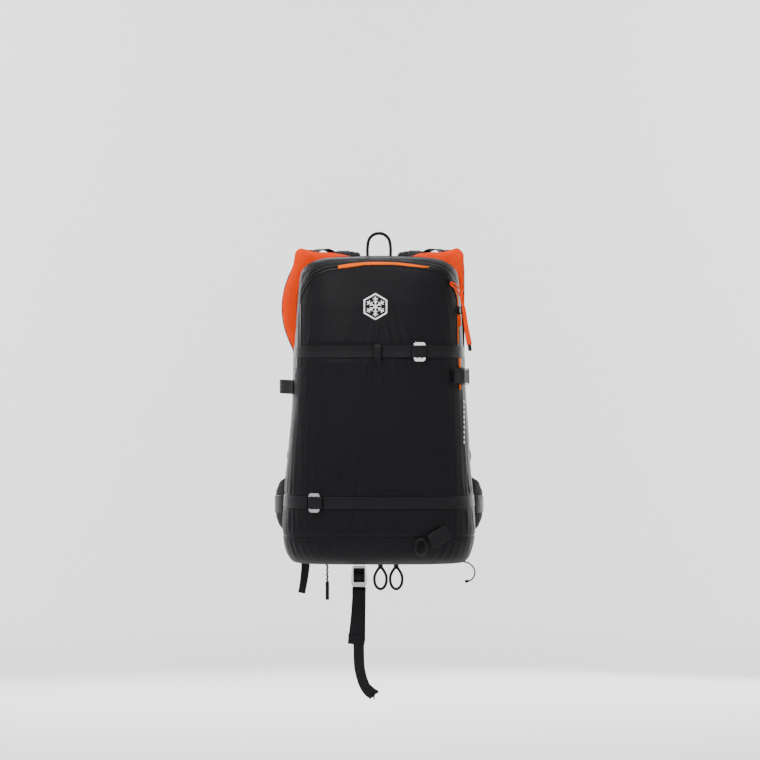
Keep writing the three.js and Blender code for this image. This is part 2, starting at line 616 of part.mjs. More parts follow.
// The leg strap's hook: wider below its middle, with a heavy lower bar.
function legHookShape() {
  const top = LEG.hookHeight / 2;
  const narrow = LEG.hookWidth / 2 - 1.6;
  const wide = LEG.hookWidth / 2;
  const shape = new THREE.Shape();
  shape.moveTo(-narrow + 2, top);
  shape.quadraticCurveTo(-narrow, top, -narrow, top - 2);
  shape.lineTo(-wide, -5);
  shape.lineTo(-wide + 1, 5 - top);
  shape.quadraticCurveTo(-wide + 2, -top, 5 - wide, -top);
  shape.lineTo(wide - 5, -top);
  shape.quadraticCurveTo(wide - 2, -top, wide - 1, 5 - top);
  shape.lineTo(wide, -5);
  shape.lineTo(narrow, top - 2);
  shape.quadraticCurveTo(narrow, top, narrow - 2, top);
  const half = LEG.window / 2;
  const room = new THREE.Path();
  room.moveTo(-half, top - 2.6);
  room.lineTo(half, top - 2.6);
  room.lineTo(half, LEG.lowBar - top);
  room.lineTo(-half, LEG.lowBar - top);
  shape.holes.push(room);
  return shape;
}

function addLegStrap() {
  const hook = plate(legHookShape(), -1.5, 1.5, 4).translate(LEG.x, LEG.y, LEG.hookTop - LEG.hookHeight / 2);
  add("leg_hook", hook, metal);

  const top = LEG.hookTop - LEG.hookHeight - 1.6;
  const drop = [[0, top], [-0.4, -80], [-0.6, -112], [-0.6, -143], [-0.4, -164], [0.6, -184], [4, -201], [9, -215],
    [16, -226], [25, -233]];
  const halfWidth = (t) => (t < 0.48 ? 11.8 : 9);
  add("leg_strap", band({
    path: drop.map(([x, z]) => at(LEG.x + x, LEG.y, z)), side: () => at(1, 0, 0), halfWidth, halfThickness: 1.8,
    steps: 24,
  }), webbing);
}

const AXE_LOOP = { radius: 10.2, thick: 2.4, tall: 1.8, y: -60, z: -27.5 };

function addHangingPieces() {
  for (const [side, x] of [["left", 2.5], ["right", 29.5]]) {
    const loop = new THREE.TorusGeometry(AXE_LOOP.radius, AXE_LOOP.thick, 7, 20).rotateX(Math.PI / 2);
    add(`axe_loop_${side}`, loop.scale(1, 1, AXE_LOOP.tall).translate(x, AXE_LOOP.y, AXE_LOOP.z), rubber);
  }

  const tail = [at(-126.4, -40, -1), at(-127.2, -40, -16), at(-130, -40, -38), at(-133.3, -40, -56)];
  const halfThickness = WEBBING.thickness / 2;
  const halfWidth = (t) => 7.4 - 1.4 * t;
  add("webbing_tail", band({ path: tail, side: () => at(1, 0, 0), halfWidth, halfThickness, steps: 8 }), webbing);
  const cordLoop = [
    at(142, -40, -2), at(148, -40, -2.4), at(154, -40, -4), at(159.5, -40, -8), at(163.5, -40, -13.8),
    at(165, -40, -19), at(164.4, -40, -25), at(161.5, -40, -30.6), at(157.5, -40, -34), at(152, -40, -35.4),
  ];
  add("cord_loop", rod(cordLoop, 1.25, 22, 6), rubber);

  const pull = [[0, 0], [2, 0], [2, 31], [3.2, 33], [3.2, 62], [0, 62]];
  const profile = pull.reverse().map(([r, z]) => new THREE.Vector2(r, -z));
  add("cord_pull", new THREE.LatheGeometry(profile, 8).rotateX(Math.PI / 2).translate(-88.4, -75, -3), rubber);
}

// ---- zip sliders --------------------------------------------------------------------------------------------------

// One slider rests on the flap's top right corner, the other on the straight side below it. Each has its pull on it.
function zipSlider(name, [x, z], turn, path, halfWidth) {
  const slope = slopeAt(x, z);
  const off = 6.2;
  const place = at(x + off * Math.sin(slope), frontY(x, z) - off * Math.cos(slope), z);
  const body = solidOf(box([-4.5, 4.5], [-2.6, 2.6], [-6, 6]).rotateY(turn).rotateZ(slope).translate(...place));
  const tape = band({
    path: path.map((p) => p.add(place)), side: () => at(0.9, 0.43, 0), halfWidth, halfThickness: 1.2, steps: 12,
  });
  add(name, body.add(solidOf(tape)), orangeFabric);
}

function addSliders() {
  const long = [at(0, -2, 0), at(9, -3, -8), at(18, -1, -17), at(21, 0, -36), at(26, 3, -66), at(36, 6, -104)];
  zipSlider("main_slider", [120, 477], -0.75, long, 4);
  const short = [at(0, -2, 2), at(1, -3, -6), at(2, -2, -14), at(2.5, -1, -26)];
  zipSlider("side_slider", [134, 428], 0, short, 2);
}

addBag();
addZip();
addAirbag();
addBack();
for (const [side, flip] of [["left", -1], ["right", 1]]) {
  addShoulderStrap(side, flip);
  addHipWing(side, flip);
}
addBuckles();
addTrigger();
addHaulLoop();
addCompressionStraps();
addSkiLoop();
addFrontTrim();
addLegStrap();
addHangingPieces();
addSliders();

pack.position.set(0, -PAD_BACK, -MOUNT_Z);

export default pack;
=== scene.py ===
"""The looks of a ski-touring backpack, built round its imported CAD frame."""

import math

import bpy
import numpy as np
from mathutils import Matrix, Vector
from mathutils.bvhtree import BVHTree


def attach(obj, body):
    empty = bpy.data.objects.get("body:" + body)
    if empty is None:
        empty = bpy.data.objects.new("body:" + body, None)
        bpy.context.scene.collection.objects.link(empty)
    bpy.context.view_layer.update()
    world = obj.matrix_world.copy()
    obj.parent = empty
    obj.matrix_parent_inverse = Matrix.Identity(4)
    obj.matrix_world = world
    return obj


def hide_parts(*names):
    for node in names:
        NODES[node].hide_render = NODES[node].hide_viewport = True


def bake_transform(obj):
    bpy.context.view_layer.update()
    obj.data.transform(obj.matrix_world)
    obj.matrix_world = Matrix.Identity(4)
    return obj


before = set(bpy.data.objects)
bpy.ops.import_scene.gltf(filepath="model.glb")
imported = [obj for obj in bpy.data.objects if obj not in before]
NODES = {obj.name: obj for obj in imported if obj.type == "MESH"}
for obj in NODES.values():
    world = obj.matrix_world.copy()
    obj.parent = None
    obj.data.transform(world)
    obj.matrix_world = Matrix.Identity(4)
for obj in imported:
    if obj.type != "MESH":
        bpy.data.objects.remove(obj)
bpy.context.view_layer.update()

# ---- driving dimensions, in millimetres from the bottom of the bag's back wall -----------------------------

HEIGHT = 520
SIDE_DEPTH = 60
FRONT_POWER = 3.2
SEAM_BASE = 48
SEAM_TOP = 470
FRONT_HALF = 133
FLAP_CORNER = 60
FLAP_TOP = 501
FLAP_CROWN = 7
HINGE_Z = 372
ZIP_END = 334
ZIP_MIDDLE = 1.5
PAD_BACK = 27
MOUNT_Z = 311
CHANNEL_FRONT = 44
CHANNEL_BOTTOM = 362
COVER_SEAM = -41.5
STRAPS = {"upper": (358, 67, 3.4), "lower": (106, -107, 1.8)}
WEBBING = 1.6
HOOK_GAP = 11.8
LEG_STRAP_X = -34.4
EMBLEM_AT = np.array([-6.0, 434.0])
FRAME_ORIGIN = np.array([0, PAD_BACK, MOUNT_Z])
CLOTH_STIFFNESS = 15.0
FABRIC_THICKNESS = 0.0012

SECTIONS = np.array([
    [0, 146, 150], [8, 154, 170], [17, 158, 180], [35, 163, 190], [60, 165, 196], [90, 163, 200],
    [130, 160, 201],
    [180, 155, 201], [230, 152, 199], [277, 149, 196], [370, 144, 186], [440, 140, 172], [480, 137, 158],
    [500, 133, 145], [511, 121, 130], [517, 107, 114], [HEIGHT, 90, 98],
], float)


def place(x, y, z):
    """A point given in bag millimetres, in the row frame in metres."""
    return Vector((x, y - PAD_BACK, z - MOUNT_Z)) / 1000


def places(points):
    return [place(*p) for p in points]


def mirrored(points, flip=-1):
    """The same points on the other side of the bag, or unchanged when flip is 1."""
    return [(x * flip, y, z) for x, y, z in points]


def full_turn(count):
    """Evenly spaced angles round a circle."""
    return np.linspace(0, 2 * math.pi, count + 1)[:-1]


# Two points at the flap's hinge, just below it and 26 mm above it. Pieces of the flap are given these in place
# of a body, and are then baked in place.
BEND = (place(0, 0, HINGE_Z - 1), place(0, 0, HINGE_Z + 26))
BAG_MIDDLE = np.array([0, -0.11, 0])


# ---- materials ---------------------------------------------------------------------------------------------

def waves(nodes, links, uv, step, direction):
    """A sine pattern that repeats every step metres along one direction of the coordinates."""
    wave = nodes.new("ShaderNodeTexWave")
    wave.bands_direction = direction
    wave.inputs["Scale"].default_value = math.pi / (10 * step)
    wave.inputs["Detail"].default_value = 0
    links.new(uv, wave.inputs["Vector"])
    return wave.outputs["Fac"]


def combine(nodes, links, operation, a, b):
    node = nodes.new("ShaderNodeMath")
    node.operation = operation
    for socket, value in zip(node.inputs, (a, b)):
        if isinstance(value, (int, float)):
            socket.default_value = value
        else:
            links.new(value, socket)
    return node.outputs[0]


def finish_of(name, color, roughness, metallic=0.0, sheen=0.0, weave=None, depth=0.0003, speckle=0.0,
              coordinates="UV", grain=90, shine=0.25):
    """A procedural material: a colour that varies a little, with a bump of weave and grain.

    The weave is given by its steps along both directions, in metres.
    """
    made = bpy.data.materials.new(name)
    made.use_nodes = True
    nodes, links = made.node_tree.nodes, made.node_tree.links
    shader = nodes["Principled BSDF"]
    shader.inputs["Metallic"].default_value = metallic
    shader.inputs["Sheen Weight"].default_value = sheen
    shader.inputs["Sheen Roughness"].default_value = 0.4
    shader.inputs["Specular IOR Level"].default_value = shine
    source = nodes.new("ShaderNodeTexCoord")
    spots = nodes.new("ShaderNodeTexNoise")
    spots.inputs["Scale"].default_value = grain
    spots.inputs["Detail"].default_value = 5
    links.new(source.outputs["Object"], spots.inputs["Vector"])
    ramp = nodes.new("ShaderNodeMapRange")
    ramp.inputs["To Min"].default_value = 1 - speckle
    ramp.inputs["To Max"].default_value = 1 + speckle
    links.new(spots.outputs["Fac"], ramp.inputs["Value"])
    tint = nodes.new("ShaderNodeVectorMath")
    tint.operation = "SCALE"
    tint.inputs[0].default_value = color
    links.new(ramp.outputs["Result"], tint.inputs["Scale"])
    links.new(tint.outputs["Vector"], shader.inputs["Base Color"])
    rough = combine(nodes, links, "MULTIPLY", ramp.outputs["Result"], roughness)
    links.new(rough, shader.inputs["Roughness"])
    height = combine(nodes, links, "MULTIPLY", spots.outputs["Fac"], 0.35)
    if weave:
        uv = source.outputs[coordinates]
        pattern = combine(nodes, links, "MULTIPLY", waves(nodes, links, uv, weave[0], "X"),
                          waves(nodes, links, uv, weave[1], "Y" if coordinates == "UV" else "Z"))
        height = combine(nodes, links, "ADD", height, pattern)
    bump = nodes.new("ShaderNodeBump")
    bump.inputs["Strength"].default_value = 0.7
    bump.inputs["Distance"].default_value = depth
    links.new(height, bump.inputs["Height"])
    links.new(bump.outputs["Normal"], shader.inputs["Normal"])
    return made


SHELL = finish_of("shell_fabric", (0.0062, 0.0058, 0.0070), 0.5, weave=(0.0012, 0.0012), depth=0.00016,
                  speckle=0.12, shine=0.10)
WEBBING_BLACK = finish_of("webbing", (0.0058, 0.0053, 0.0066), 0.45, weave=(0.0018, 0.0022), depth=0.0004,
                          speckle=0.15, shine=0.16)
TAPE = finish_of("zip_tape", (0.0034, 0.0032, 0.0038), 0.32, weave=(0.001, 0.001), depth=0.0001, speckle=0.1,
                 shine=0.2)
ORANGE = finish_of("orange_fabric", (0.86, 0.048, 0.0004), 0.7, weave=(0.0011, 0.0011), depth=0.0002,
                   speckle=0.06, shine=0.02)
ORANGE_PIPING = finish_of("orange_piping", (0.90, 0.13, 0.0004), 0.6, weave=(0.0012, 0.0012), depth=0.0001,
                          speckle=0.04, shine=0.02)
ORANGE_CORD = finish_of("orange_cord", (0.88, 0.055, 0.0003), 0.7, weave=(0.0016, 0.0012), depth=0.0004,
                        speckle=0.06, shine=0.03)
FOAM = finish_of("foam_mesh", (0.013, 0.0125, 0.014), 0.75, sheen=0.03, weave=(0.0032, 0.0032), depth=0.0009,
                 speckle=0.15, coordinates="Object", shine=0.10)
BINDING = finish_of("binding", (0.0050, 0.0048, 0.0056), 0.45, weave=(0.0015, 0.0015), depth=0.0002,
                    speckle=0.1, shine=0.18)
PLASTIC = finish_of("black_plastic", (0.0055, 0.0055, 0.006), 0.4, depth=0.00006, speckle=0.08, grain=700,
                    shine=0.22)
ORANGE_PLASTIC = finish_of("orange_plastic", (0.60, 0.026, 0.0003), 0.38, depth=0.00006, speckle=0.04,
                           grain=700, shine=0.15)
ALUMINIUM = finish_of("aluminium", (0.86, 0.86, 0.88), 0.24, metallic=1.0, depth=0.00005, speckle=0.1,
                      grain=900, shine=0.5)
SHEET = finish_of("frame_sheet", (0.62, 0.62, 0.6), 0.45, depth=0.00008, speckle=0.05, grain=300)
CORD = finish_of("black_cord", (0.005, 0.0048, 0.0055), 0.45, weave=(0.0014, 0.001), depth=0.0003, speckle=0.12,
                 shine=0.2)
THREAD = finish_of("thread", (0.012, 0.0115, 0.013), 0.5, speckle=0.1, grain=900, shine=0.2)
PRINT = finish_of("pale_print", (0.92, 0.91, 0.94), 0.5, depth=0.00005, speckle=0.04, grain=900)


# ---- meshes ------------------------------------------------------------------------------------------------

def piece(name, points, faces, material, uv=None, smooth=True):
    """A mesh object. uv is one pair for each point."""
    mesh = bpy.data.meshes.new(name)
    mesh.from_pydata([tuple(p) for p in points], [], faces)
    mesh.polygons.foreach_set("use_smooth", [smooth] * len(mesh.polygons))
    mesh.materials.append(material)
    if uv is not None:
        layer = mesh.uv_layers.new(name="UVMap")
        index = np.zeros(len(mesh.loops), int)
        mesh.loops.foreach_get("vertex_index", index)
        layer.data.foreach_set("uv", np.asarray(uv, np.float32)[index].ravel())
    made = bpy.data.objects.new(name, mesh)
    bpy.context.scene.collection.objects.link(made)
    return made


def wear(made, body, replaces=()):
    """The piece is parented to a body, or baked in place when given the hinge points, and hides the CAD nodes
    it stands for.
    """
    if isinstance(body, tuple):
        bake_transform(made)
    else:
        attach(made, body)
    if replaces:
        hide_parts(*replaces)
    return made


def smooth_line(points, count):
    """Points evenly spaced along a smooth curve through the given ones."""
    given = np.array([tuple(p) for p in points], float)
    ends = np.vstack([2 * given[0] - given[1], given, 2 * given[-1] - given[-2]])
    fine = []
    for i in range(len(given) - 1):
        p0, p1, p2, p3 = ends[i:i + 4]
        for t in np.linspace(0, 1, 24, endpoint=False):
            fine.append(0.5 * (2 * p1 + (p2 - p0) * t + (2 * p0 - 5 * p1 + 4 * p2 - p3) * t ** 2
                               + (3 * p1 - p0 - 3 * p2 + p3) * t ** 3))
    fine.append(given[-1])
    return even(np.array(fine), count)


def distances(line):
    """How far along the line each of its points is."""
    return np.concatenate([[0], np.cumsum(np.linalg.norm(np.diff(line, axis=0), axis=1))])


def looked_up(where, length, line):
    """The line's rows at some distances along it."""
    return np.column_stack([np.interp(where, length, line[:, k]) for k in range(line.shape[1])])


def even(line, count):
    """The same line, with evenly spaced points."""
    length = distances(line)
    return looked_up(np.linspace(0, length[-1], count), length, line)


def unit(vectors):
    return vectors / np.maximum(np.linalg.norm(vectors, axis=-1, keepdims=True), 1e-12)


def tangents(line, closed=False):
    if closed:
        return unit(np.roll(line, -1, axis=0) - np.roll(line, 1, axis=0))
    return unit(np.gradient(line, axis=0))


def lofted(name, grid, material, closed=False):
    """A surface through rows of points, each a closed section. closed joins the last row to the first."""
    grid = np.asarray(grid, float)
    n, m = grid.shape[:2]
    faces = []
    for i in range(n if closed else n - 1):
        a, b = i * m, ((i + 1) % n) * m
        faces += [(a + k, a + (k + 1) % m, b + (k + 1) % m, b + k) for k in range(m)]
    if not closed:
        faces += [tuple(range(m - 1, -1, -1)), tuple((n - 1) * m + k for k in range(m))]
    uv = np.array([(u, v) for u in distances(grid.mean(axis=1)) for v in distances(grid[n // 2])])
    return piece(name, grid.reshape(-1, 3), faces, material, uv)


def sweep(name, line, across, section, material, closed=False, scale=None):
    """A section (pairs of across and out, in metres) carried along a line.

    across is one direction, or one for each point.
    """
    line = np.asarray(line, float)
    along = tangents(line, closed)
    across = np.broadcast_to(np.asarray(across, float), line.shape)
    across = unit(across - along * np.sum(across * along, axis=1, keepdims=True))
    out = np.cross(along, across)
    section = np.asarray(section, float)
    scale = np.ones((len(line), 2)) if scale is None else np.asarray(scale, float)
    grid = (line[:, None, :] + across[:, None, :] * (section[None, :, 0] * scale[:, :1])[:, :, None]
            + out[:, None, :] * (section[None, :, 1] * scale[:, 1:])[:, :, None])
    return lofted(name, grid, material, closed)


def strap_section(width, thickness):
    """A flat strap with soft, slightly thicker edges."""
    w, t = width / 2, thickness / 2
    edge = min(1.2 * thickness, w / 3)
    upper = [(-w, 0), (-w + 0.3 * t, 0.8 * t), (-w + edge / 2, 1.1 * t), (-w + edge, 0.85 * t), (0, 0.9 * t)]
    upper += [(-x, y) for x, y in upper[-2::-1]]
    lower = [(-x, -y) for x, y in upper[1:-1]]
    return upper + lower


def round_section(radius, count):
    return [(radius * math.cos(2 * math.pi * k / count), radius * math.sin(2 * math.pi * k / count))
            for k in range(count)]


def round_tube(name, line, radius, material, sides=12):
    """A round tube along a line, in metres."""
    return sweep(name, line, steady_across(line, (0.31, 0.83, 0.46)), round_section(radius, sides), material)


def strap(name, points, across, width, thickness=WEBBING, material=WEBBING_BLACK, count=48, scale=None):
    return sweep(name, smooth_line(points, count), across, strap_section(width / 1000, thickness / 1000),
                 material, scale=scale)


def steady_across(line, first):
    """Across directions for a round tube that turn as little as possible along the line."""
    turned = []
    across = np.asarray(first, float)
    for t in tangents(line):
        across = across - t * across.dot(t)
        across /= np.linalg.norm(across)
        turned.append(across)
    return np.array(turned)


def tube(name, points, radius, material, count, sides=10):
    return round_tube(name, smooth_line(points, count), radius / 1000, material, sides)


def joined(name, objects):
    """One object from several."""
    bpy.ops.object.select_all(action="DESELECT")
    for o in objects:
        o.select_set(True)
    bpy.context.view_layer.objects.active = objects[0]
    bpy.ops.object.join()
    objects[0].name = name
    objects[0].data.name = name
    return objects[0]


def vertex_rows(made, field="co"):
    """A mesh's points, or its normals with the field "normal", one row for each vertex."""
    rows = np.zeros(len(made.data.vertices) * 3)
    made.data.vertices.foreach_get(field, rows)
    return rows.reshape(-1, 3)


def outward_normals(made, points):
    """A bag panel's normals, turned away from the middle of the bag."""
    normals = vertex_rows(made, "normal")
    return np.sign(np.sum(normals * (points - BAG_MIDDLE), axis=1))[:, None] * normals


def set_coordinates(made, co):
    made.data.vertices.foreach_set("co", np.asarray(co, np.float32).ravel())
    made.data.update()


def modifier(made, kind, **settings):
    added = made.modifiers.new(kind.lower(), kind)
    for key, value in settings.items():
        setattr(added, key, value)
    return added


def dress(made, material):
    """Gives a mesh one material and smooth shading."""
    made.data.materials.clear()
    made.data.materials.append(material)
    made.data.polygons.foreach_set("use_smooth", [True] * len(made.data.polygons))


def apply_modifiers(made):
    graph = bpy.context.evaluated_depsgraph_get()
    mesh = bpy.data.meshes.new_from_object(made.evaluated_get(graph))
    made.modifiers.clear()
    made.data = mesh


def blow_up(made, held, pressure, cap, frames, stretch=0.02, bending=0.6):
    """Inflates a mesh as cloth. held has weights from 0 to 1, and no point moves further than the cap."""
    rest = vertex_rows(made)
    group = made.vertex_groups.new(name="held")
    for weight in np.unique(np.round(held, 1)):
        if weight > 0:
            group.add([int(i) for i in np.flatnonzero(np.round(held, 1) == weight)], float(weight), "REPLACE")
    cloth = made.modifiers.new("cloth", "CLOTH")
    settings = cloth.settings
    settings.quality = 4
    settings.mass = 0.25
    settings.tension_stiffness = CLOTH_STIFFNESS
    settings.compression_stiffness = CLOTH_STIFFNESS
    settings.shear_stiffness = CLOTH_STIFFNESS / 2
    settings.bending_stiffness = bending
    settings.shrink_min = -stretch
    settings.use_pressure = True
    settings.uniform_pressure_force = pressure
    settings.vertex_group_mass = "held"
    settings.effector_weights.gravity = 0
    cloth.collision_settings.use_collision = False
    scene = bpy.context.scene
    cloth.point_cache.frame_start = 1
    cloth.point_cache.frame_end = frames
    for number in range(1, frames + 1):
        scene.frame_set(number)
    graph = bpy.context.evaluated_depsgraph_get()
    moved = np.zeros(len(rest) * 3)
    made.evaluated_get(graph).to_mesh().vertices.foreach_get("co", moved)
    moved = moved.reshape(-1, 3)
    made.modifiers.remove(cloth)
    made.vertex_groups.remove(group)
    scene.frame_set(1)
    step = moved - rest
    size = np.linalg.norm(step, axis=1, keepdims=True)
    step *= np.minimum(1, cap / np.maximum(size, 1e-9))
    set_coordinates(made, rest + np.nan_to_num(step))


# ---- the bag's skin ----------------------------------------------------------------------------------------

def soft_profile(column):
    """The outline's size against height, with its corners rounded a little."""
    heights = np.linspace(0, HEIGHT, 521)
    sizes = np.interp(heights, SECTIONS[:, 0], SECTIONS[:, column])
    wide = np.convolve(np.pad(sizes, 9, mode="edge"), np.ones(19) / 19, "valid")
    near_end = np.clip(np.minimum(heights, HEIGHT - heights) / 22, 0, 1)
    return heights, sizes + (wide - sizes) * near_end


HALF_WIDTHS = soft_profile(1)
DEPTHS = soft_profile(2)


def size_at(z):
    return np.interp(z, *HALF_WIDTHS), np.interp(z, *DEPTHS)


def front_y(x, z):
    """The y of the rounded front."""
    half, depth = size_at(z)
    share = np.minimum(1, np.abs(x) / half)
    return -SIDE_DEPTH - (depth - SIDE_DEPTH) * (1 - share ** FRONT_POWER) ** (1 / FRONT_POWER)


def side_line(half, depth, start, count):
    """From x = start on the front round to the bag's back edge, on the right side."""
    share = min(1.0, start / half)
    angles = np.linspace(math.acos(share ** (FRONT_POWER / 2)), 0, 40)
    round_part = np.column_stack([half * np.cos(angles) ** (2 / FRONT_POWER),
                                  -SIDE_DEPTH - (depth - SIDE_DEPTH) * np.sin(angles) ** (2 / FRONT_POWER)])
    return even(np.vstack([round_part, [[half - 1, -24], [half - 4, -0.4]]]), count)


def window_line(grow, lowest=HINGE_Z, step=2.0):
    """The flap's outline from its lower right end, over the top, to its lower left end, as x and z."""
    side, radius = FRONT_HALF + grow, FLAP_CORNER + grow
    corner = FLAP_TOP - FLAP_CORNER
    angles = np.linspace(0, math.pi / 2, 24)
    arc = np.column_stack([side - radius + radius * np.cos(angles), corner + radius * np.sin(angles)])
    t = np.linspace(0, 1, 40)[1:, None]
    ends = [np.array([side - radius, FLAP_TOP + grow]), np.array([0, FLAP_TOP + 2 * FLAP_CROWN + grow]),
            np.array([radius - side, FLAP_TOP + grow])]
    top = (1 - t) ** 2 * ends[0] + 2 * t * (1 - t) * ends[1] + t ** 2 * ends[2]
    line = np.vstack([[[side, lowest]], arc, top, (arc * [-1, 1])[::-1][1:], [[-side, lowest]]])
    length = np.sum(np.linalg.norm(np.diff(line, axis=0), axis=1))
    return even(line, int(length / step))


def inside_window(x, z):
    """How far a point is inside the flap's outline, and the nearest point of it."""
    outline = window_line(ZIP_MIDDLE)
    gap = np.array([x, z]) - outline
    i = int(np.argmin(np.sum(gap ** 2, axis=1)))
    centre = np.array([0.0, 430.0])
    inner = np.linalg.norm(np.array([x, z]) - centre) < np.linalg.norm(outline[i] - centre)
    distance = float(np.linalg.norm(gap[i]))
    return (distance if inner else -distance), outline[i]


def skin_grid():
    """Rows of points over the whole bag, from under it to its top.

    Each row goes from the left back edge round the front to the right one.
    """
    side_count, front_count = 26, 48
    rows = []
    rows += [(0, s, 0.0 - 1.0 * (1 - s * s)) for s in (0.03, 0.2, 0.36, 0.5, 0.63, 0.74, 0.84, 0.93)]
    for low, high, count in ((0, 8, 2), (8, SEAM_BASE, 7), (SEAM_BASE, HINGE_Z, 56), (HINGE_Z, SEAM_TOP, 18),
                             (SEAM_TOP, 508, 9), (508, HEIGHT, 4)):
        rows += [(z, 1.0, z) for z in np.linspace(low, high, count, endpoint=False)]
    rows.append((HEIGHT, 1.0, HEIGHT))
    rows += [(HEIGHT, s, HEIGHT + 3 * (1 - s * s)) for s in (0.93, 0.84, 0.72, 0.58, 0.42, 0.25, 0.06)]
    grid, rest = [], []
    for z, scale, height in rows:
        half, depth = size_at(z)
        start = min(FRONT_HALF + ZIP_MIDDLE, 0.955 * half)
        right = side_line(half, depth, start, side_count)
        xs = np.linspace(-start, start, front_count + 1)
        heights = np.full(front_count + 1, float(height))
        if scale == 1.0 and z > HINGE_Z:
            for k, x in enumerate(xs):
                distance, nearest = inside_window(x, z)
                if abs(distance) < 3.2 and 0 < k < front_count:
                    xs[k], heights[k] = nearest
        front = np.column_stack([xs, front_y(xs, heights if scale == 1.0 else z)])
        left = (right * [-1, 1])[::-1]
        flat = np.vstack([left[:-1], front, right[1:]])
        tall = np.concatenate([np.full(side_count - 1, height), heights, np.full(side_count - 1, height)])
        centre = np.array([0, -depth / 2])
        flat = centre + (flat - centre) * scale
        if z > CHANNEL_BOTTOM and flat[:, 1].max() > COVER_SEAM:
            for half_row in (flat[:len(flat) // 2], flat[len(flat) // 2:]):
                half_row[np.argmin(np.abs(half_row[:, 1] - COVER_SEAM)), 1] = COVER_SEAM
        grid.append(np.column_stack([flat, tall]))
        rest.append(z)
    return np.array(grid), rest, side_count, front_count


def skin_panels():
    """Which panel each face of the grid belongs to: {name: list of (row, column)}."""
    grid, rest, side_count, front_count = skin_grid()
    rows, columns = grid.shape[:2]
    first_front, last_front = side_count - 1, side_count - 1 + front_count
    kinds = {}
    for r in range(rows - 1):
        for c in range(columns - 1):
            x, y, z = grid[r:r + 2, c:c + 2].reshape(4, 3).mean(axis=0)
            in_front = first_front <= c < last_front
            capped = r < 8 or rest[r] >= HEIGHT
            if y > COVER_SEAM and z > CHANNEL_BOTTOM + 6:
                continue
            if r < 8 or z < SEAM_BASE:
                kind = "base_panel"
            elif capped or (z > HINGE_Z and in_front and inside_window(x, z)[0] < 0 and z > SEAM_TOP):
                kind = "top_panel"
            elif in_front and z < HINGE_Z:
                kind = "front_panel"
            elif in_front and inside_window(x, z)[0] > 0:
                kind = "front_flap"
            elif z > SEAM_TOP:
                kind = "top_panel"
            else:
                kind = "side_panel_left" if x < 0 else "side_panel_right"
            kinds.setdefault(kind, []).append((r, c))
    return grid, kinds


def grid_faces(rows, columns):
    """The quads of a grid of points, as {(row, column): the four point numbers}."""
    return {(r, c): (r * columns + c, r * columns + c + 1, (r + 1) * columns + c + 1, (r + 1) * columns + c)
            for r in range(rows - 1) for c in range(columns - 1)}


def rise(value, low, high):
    """0 below the low value, 1 above the high one, smooth between."""
    t = np.clip((value - low) / (high - low), 0, 1)
    return t * t * (3 - 2 * t)


def calm(x, y, z):
    """0 where the fabric is held flat by a seam, a strap or the zip, 1 where it is loose."""
    loose = rise(np.abs(z - SEAM_BASE), 2, 12) * rise(-y, 48, 66) * rise(500 - z, 0, 12) * rise(z, 6, 20)
    loose *= rise(np.abs(np.abs(x) - FRONT_HALF - ZIP_MIDDLE), 1, 7) * 0.7 + 0.3
    for height, _, _ in STRAPS.values():
        loose *= rise(np.abs(z - height), 10, 18)
    loose *= 1 - (1 - rise(np.abs(z - 299), 12, 20)) * (x < -120) - (1 - rise(np.abs(z - 317), 12,
                                                                              20)) * (x > 110)
    loose *= rise(np.hypot(x - EMBLEM_AT[0], z - EMBLEM_AT[1]), 23, 40)
    outline = window_line(ZIP_MIDDLE, ZIP_END, 4.0)
    near = np.flatnonzero((z > ZIP_END - 20) & (y < -SIDE_DEPTH))
    gaps = np.hypot(x[near, None] - outline[None, :, 0], z[near, None] - outline[None, :, 1]).min(axis=1)
    loose[near] *= rise(gaps, 9, 18)
    return loose


def folds(x, y, z):
    """How far the small folds stand out of the loose fabric, in millimetres."""
    girth = x + np.sign(x) * np.maximum(0, y + 196) * 0.9
    total = 1.1 * np.sin(z / 43 + x / 71) * np.sin(x / 52 - z / 88 + 0.7)
    for number, (height, _, _) in enumerate(STRAPS.values()):
        away = z - height
        fade = np.exp(-(np.abs(away) / 52) ** 1.3)
        lean = girth + 0.3 * away * np.tanh(x / 80)
        patch = np.maximum(0, np.sin(girth / 37 + 1.9 * number + 0.8)) ** 0.5
        total += 1.5 * fade * patch * np.maximum(0, np.sin(lean / 4.6 + 1.6 * np.sin(lean / 21 + number))) ** 2
        total += 0.9 * fade * np.maximum(0, np.sin(lean / 7.9 + 2.1 * np.sin(lean / 33 + 2 * number))) ** 3
    corner = np.exp(-((np.abs(girth) - 158) / 52) ** 2)
    low = corner * (np.exp(-((z - 60) / 120) ** 2) + 0.35)
    pleats = np.abs(np.sin(girth / 6.2 + 0.5 * np.sin(z / 75) + 0.3 * np.sin(z / 31)))
    return total + 1.9 * low * (0.45 - pleats ** 0.7) * (0.65 + 0.35 * np.sin(girth / 17 + z / 95))


def ruffle(panel):
    """Pulls the small folds into a panel."""
    co = vertex_rows(panel)
    outward = outward_normals(panel, co)
    x, y, z = bag_millimetres(co).T
    set_coordinates(panel, co + outward * (calm(x, y, z) * folds(x, y, z) / 1000)[:, None])


def bag_millimetres(co):
    return np.asarray(co) * 1000 + FRAME_ORIGIN


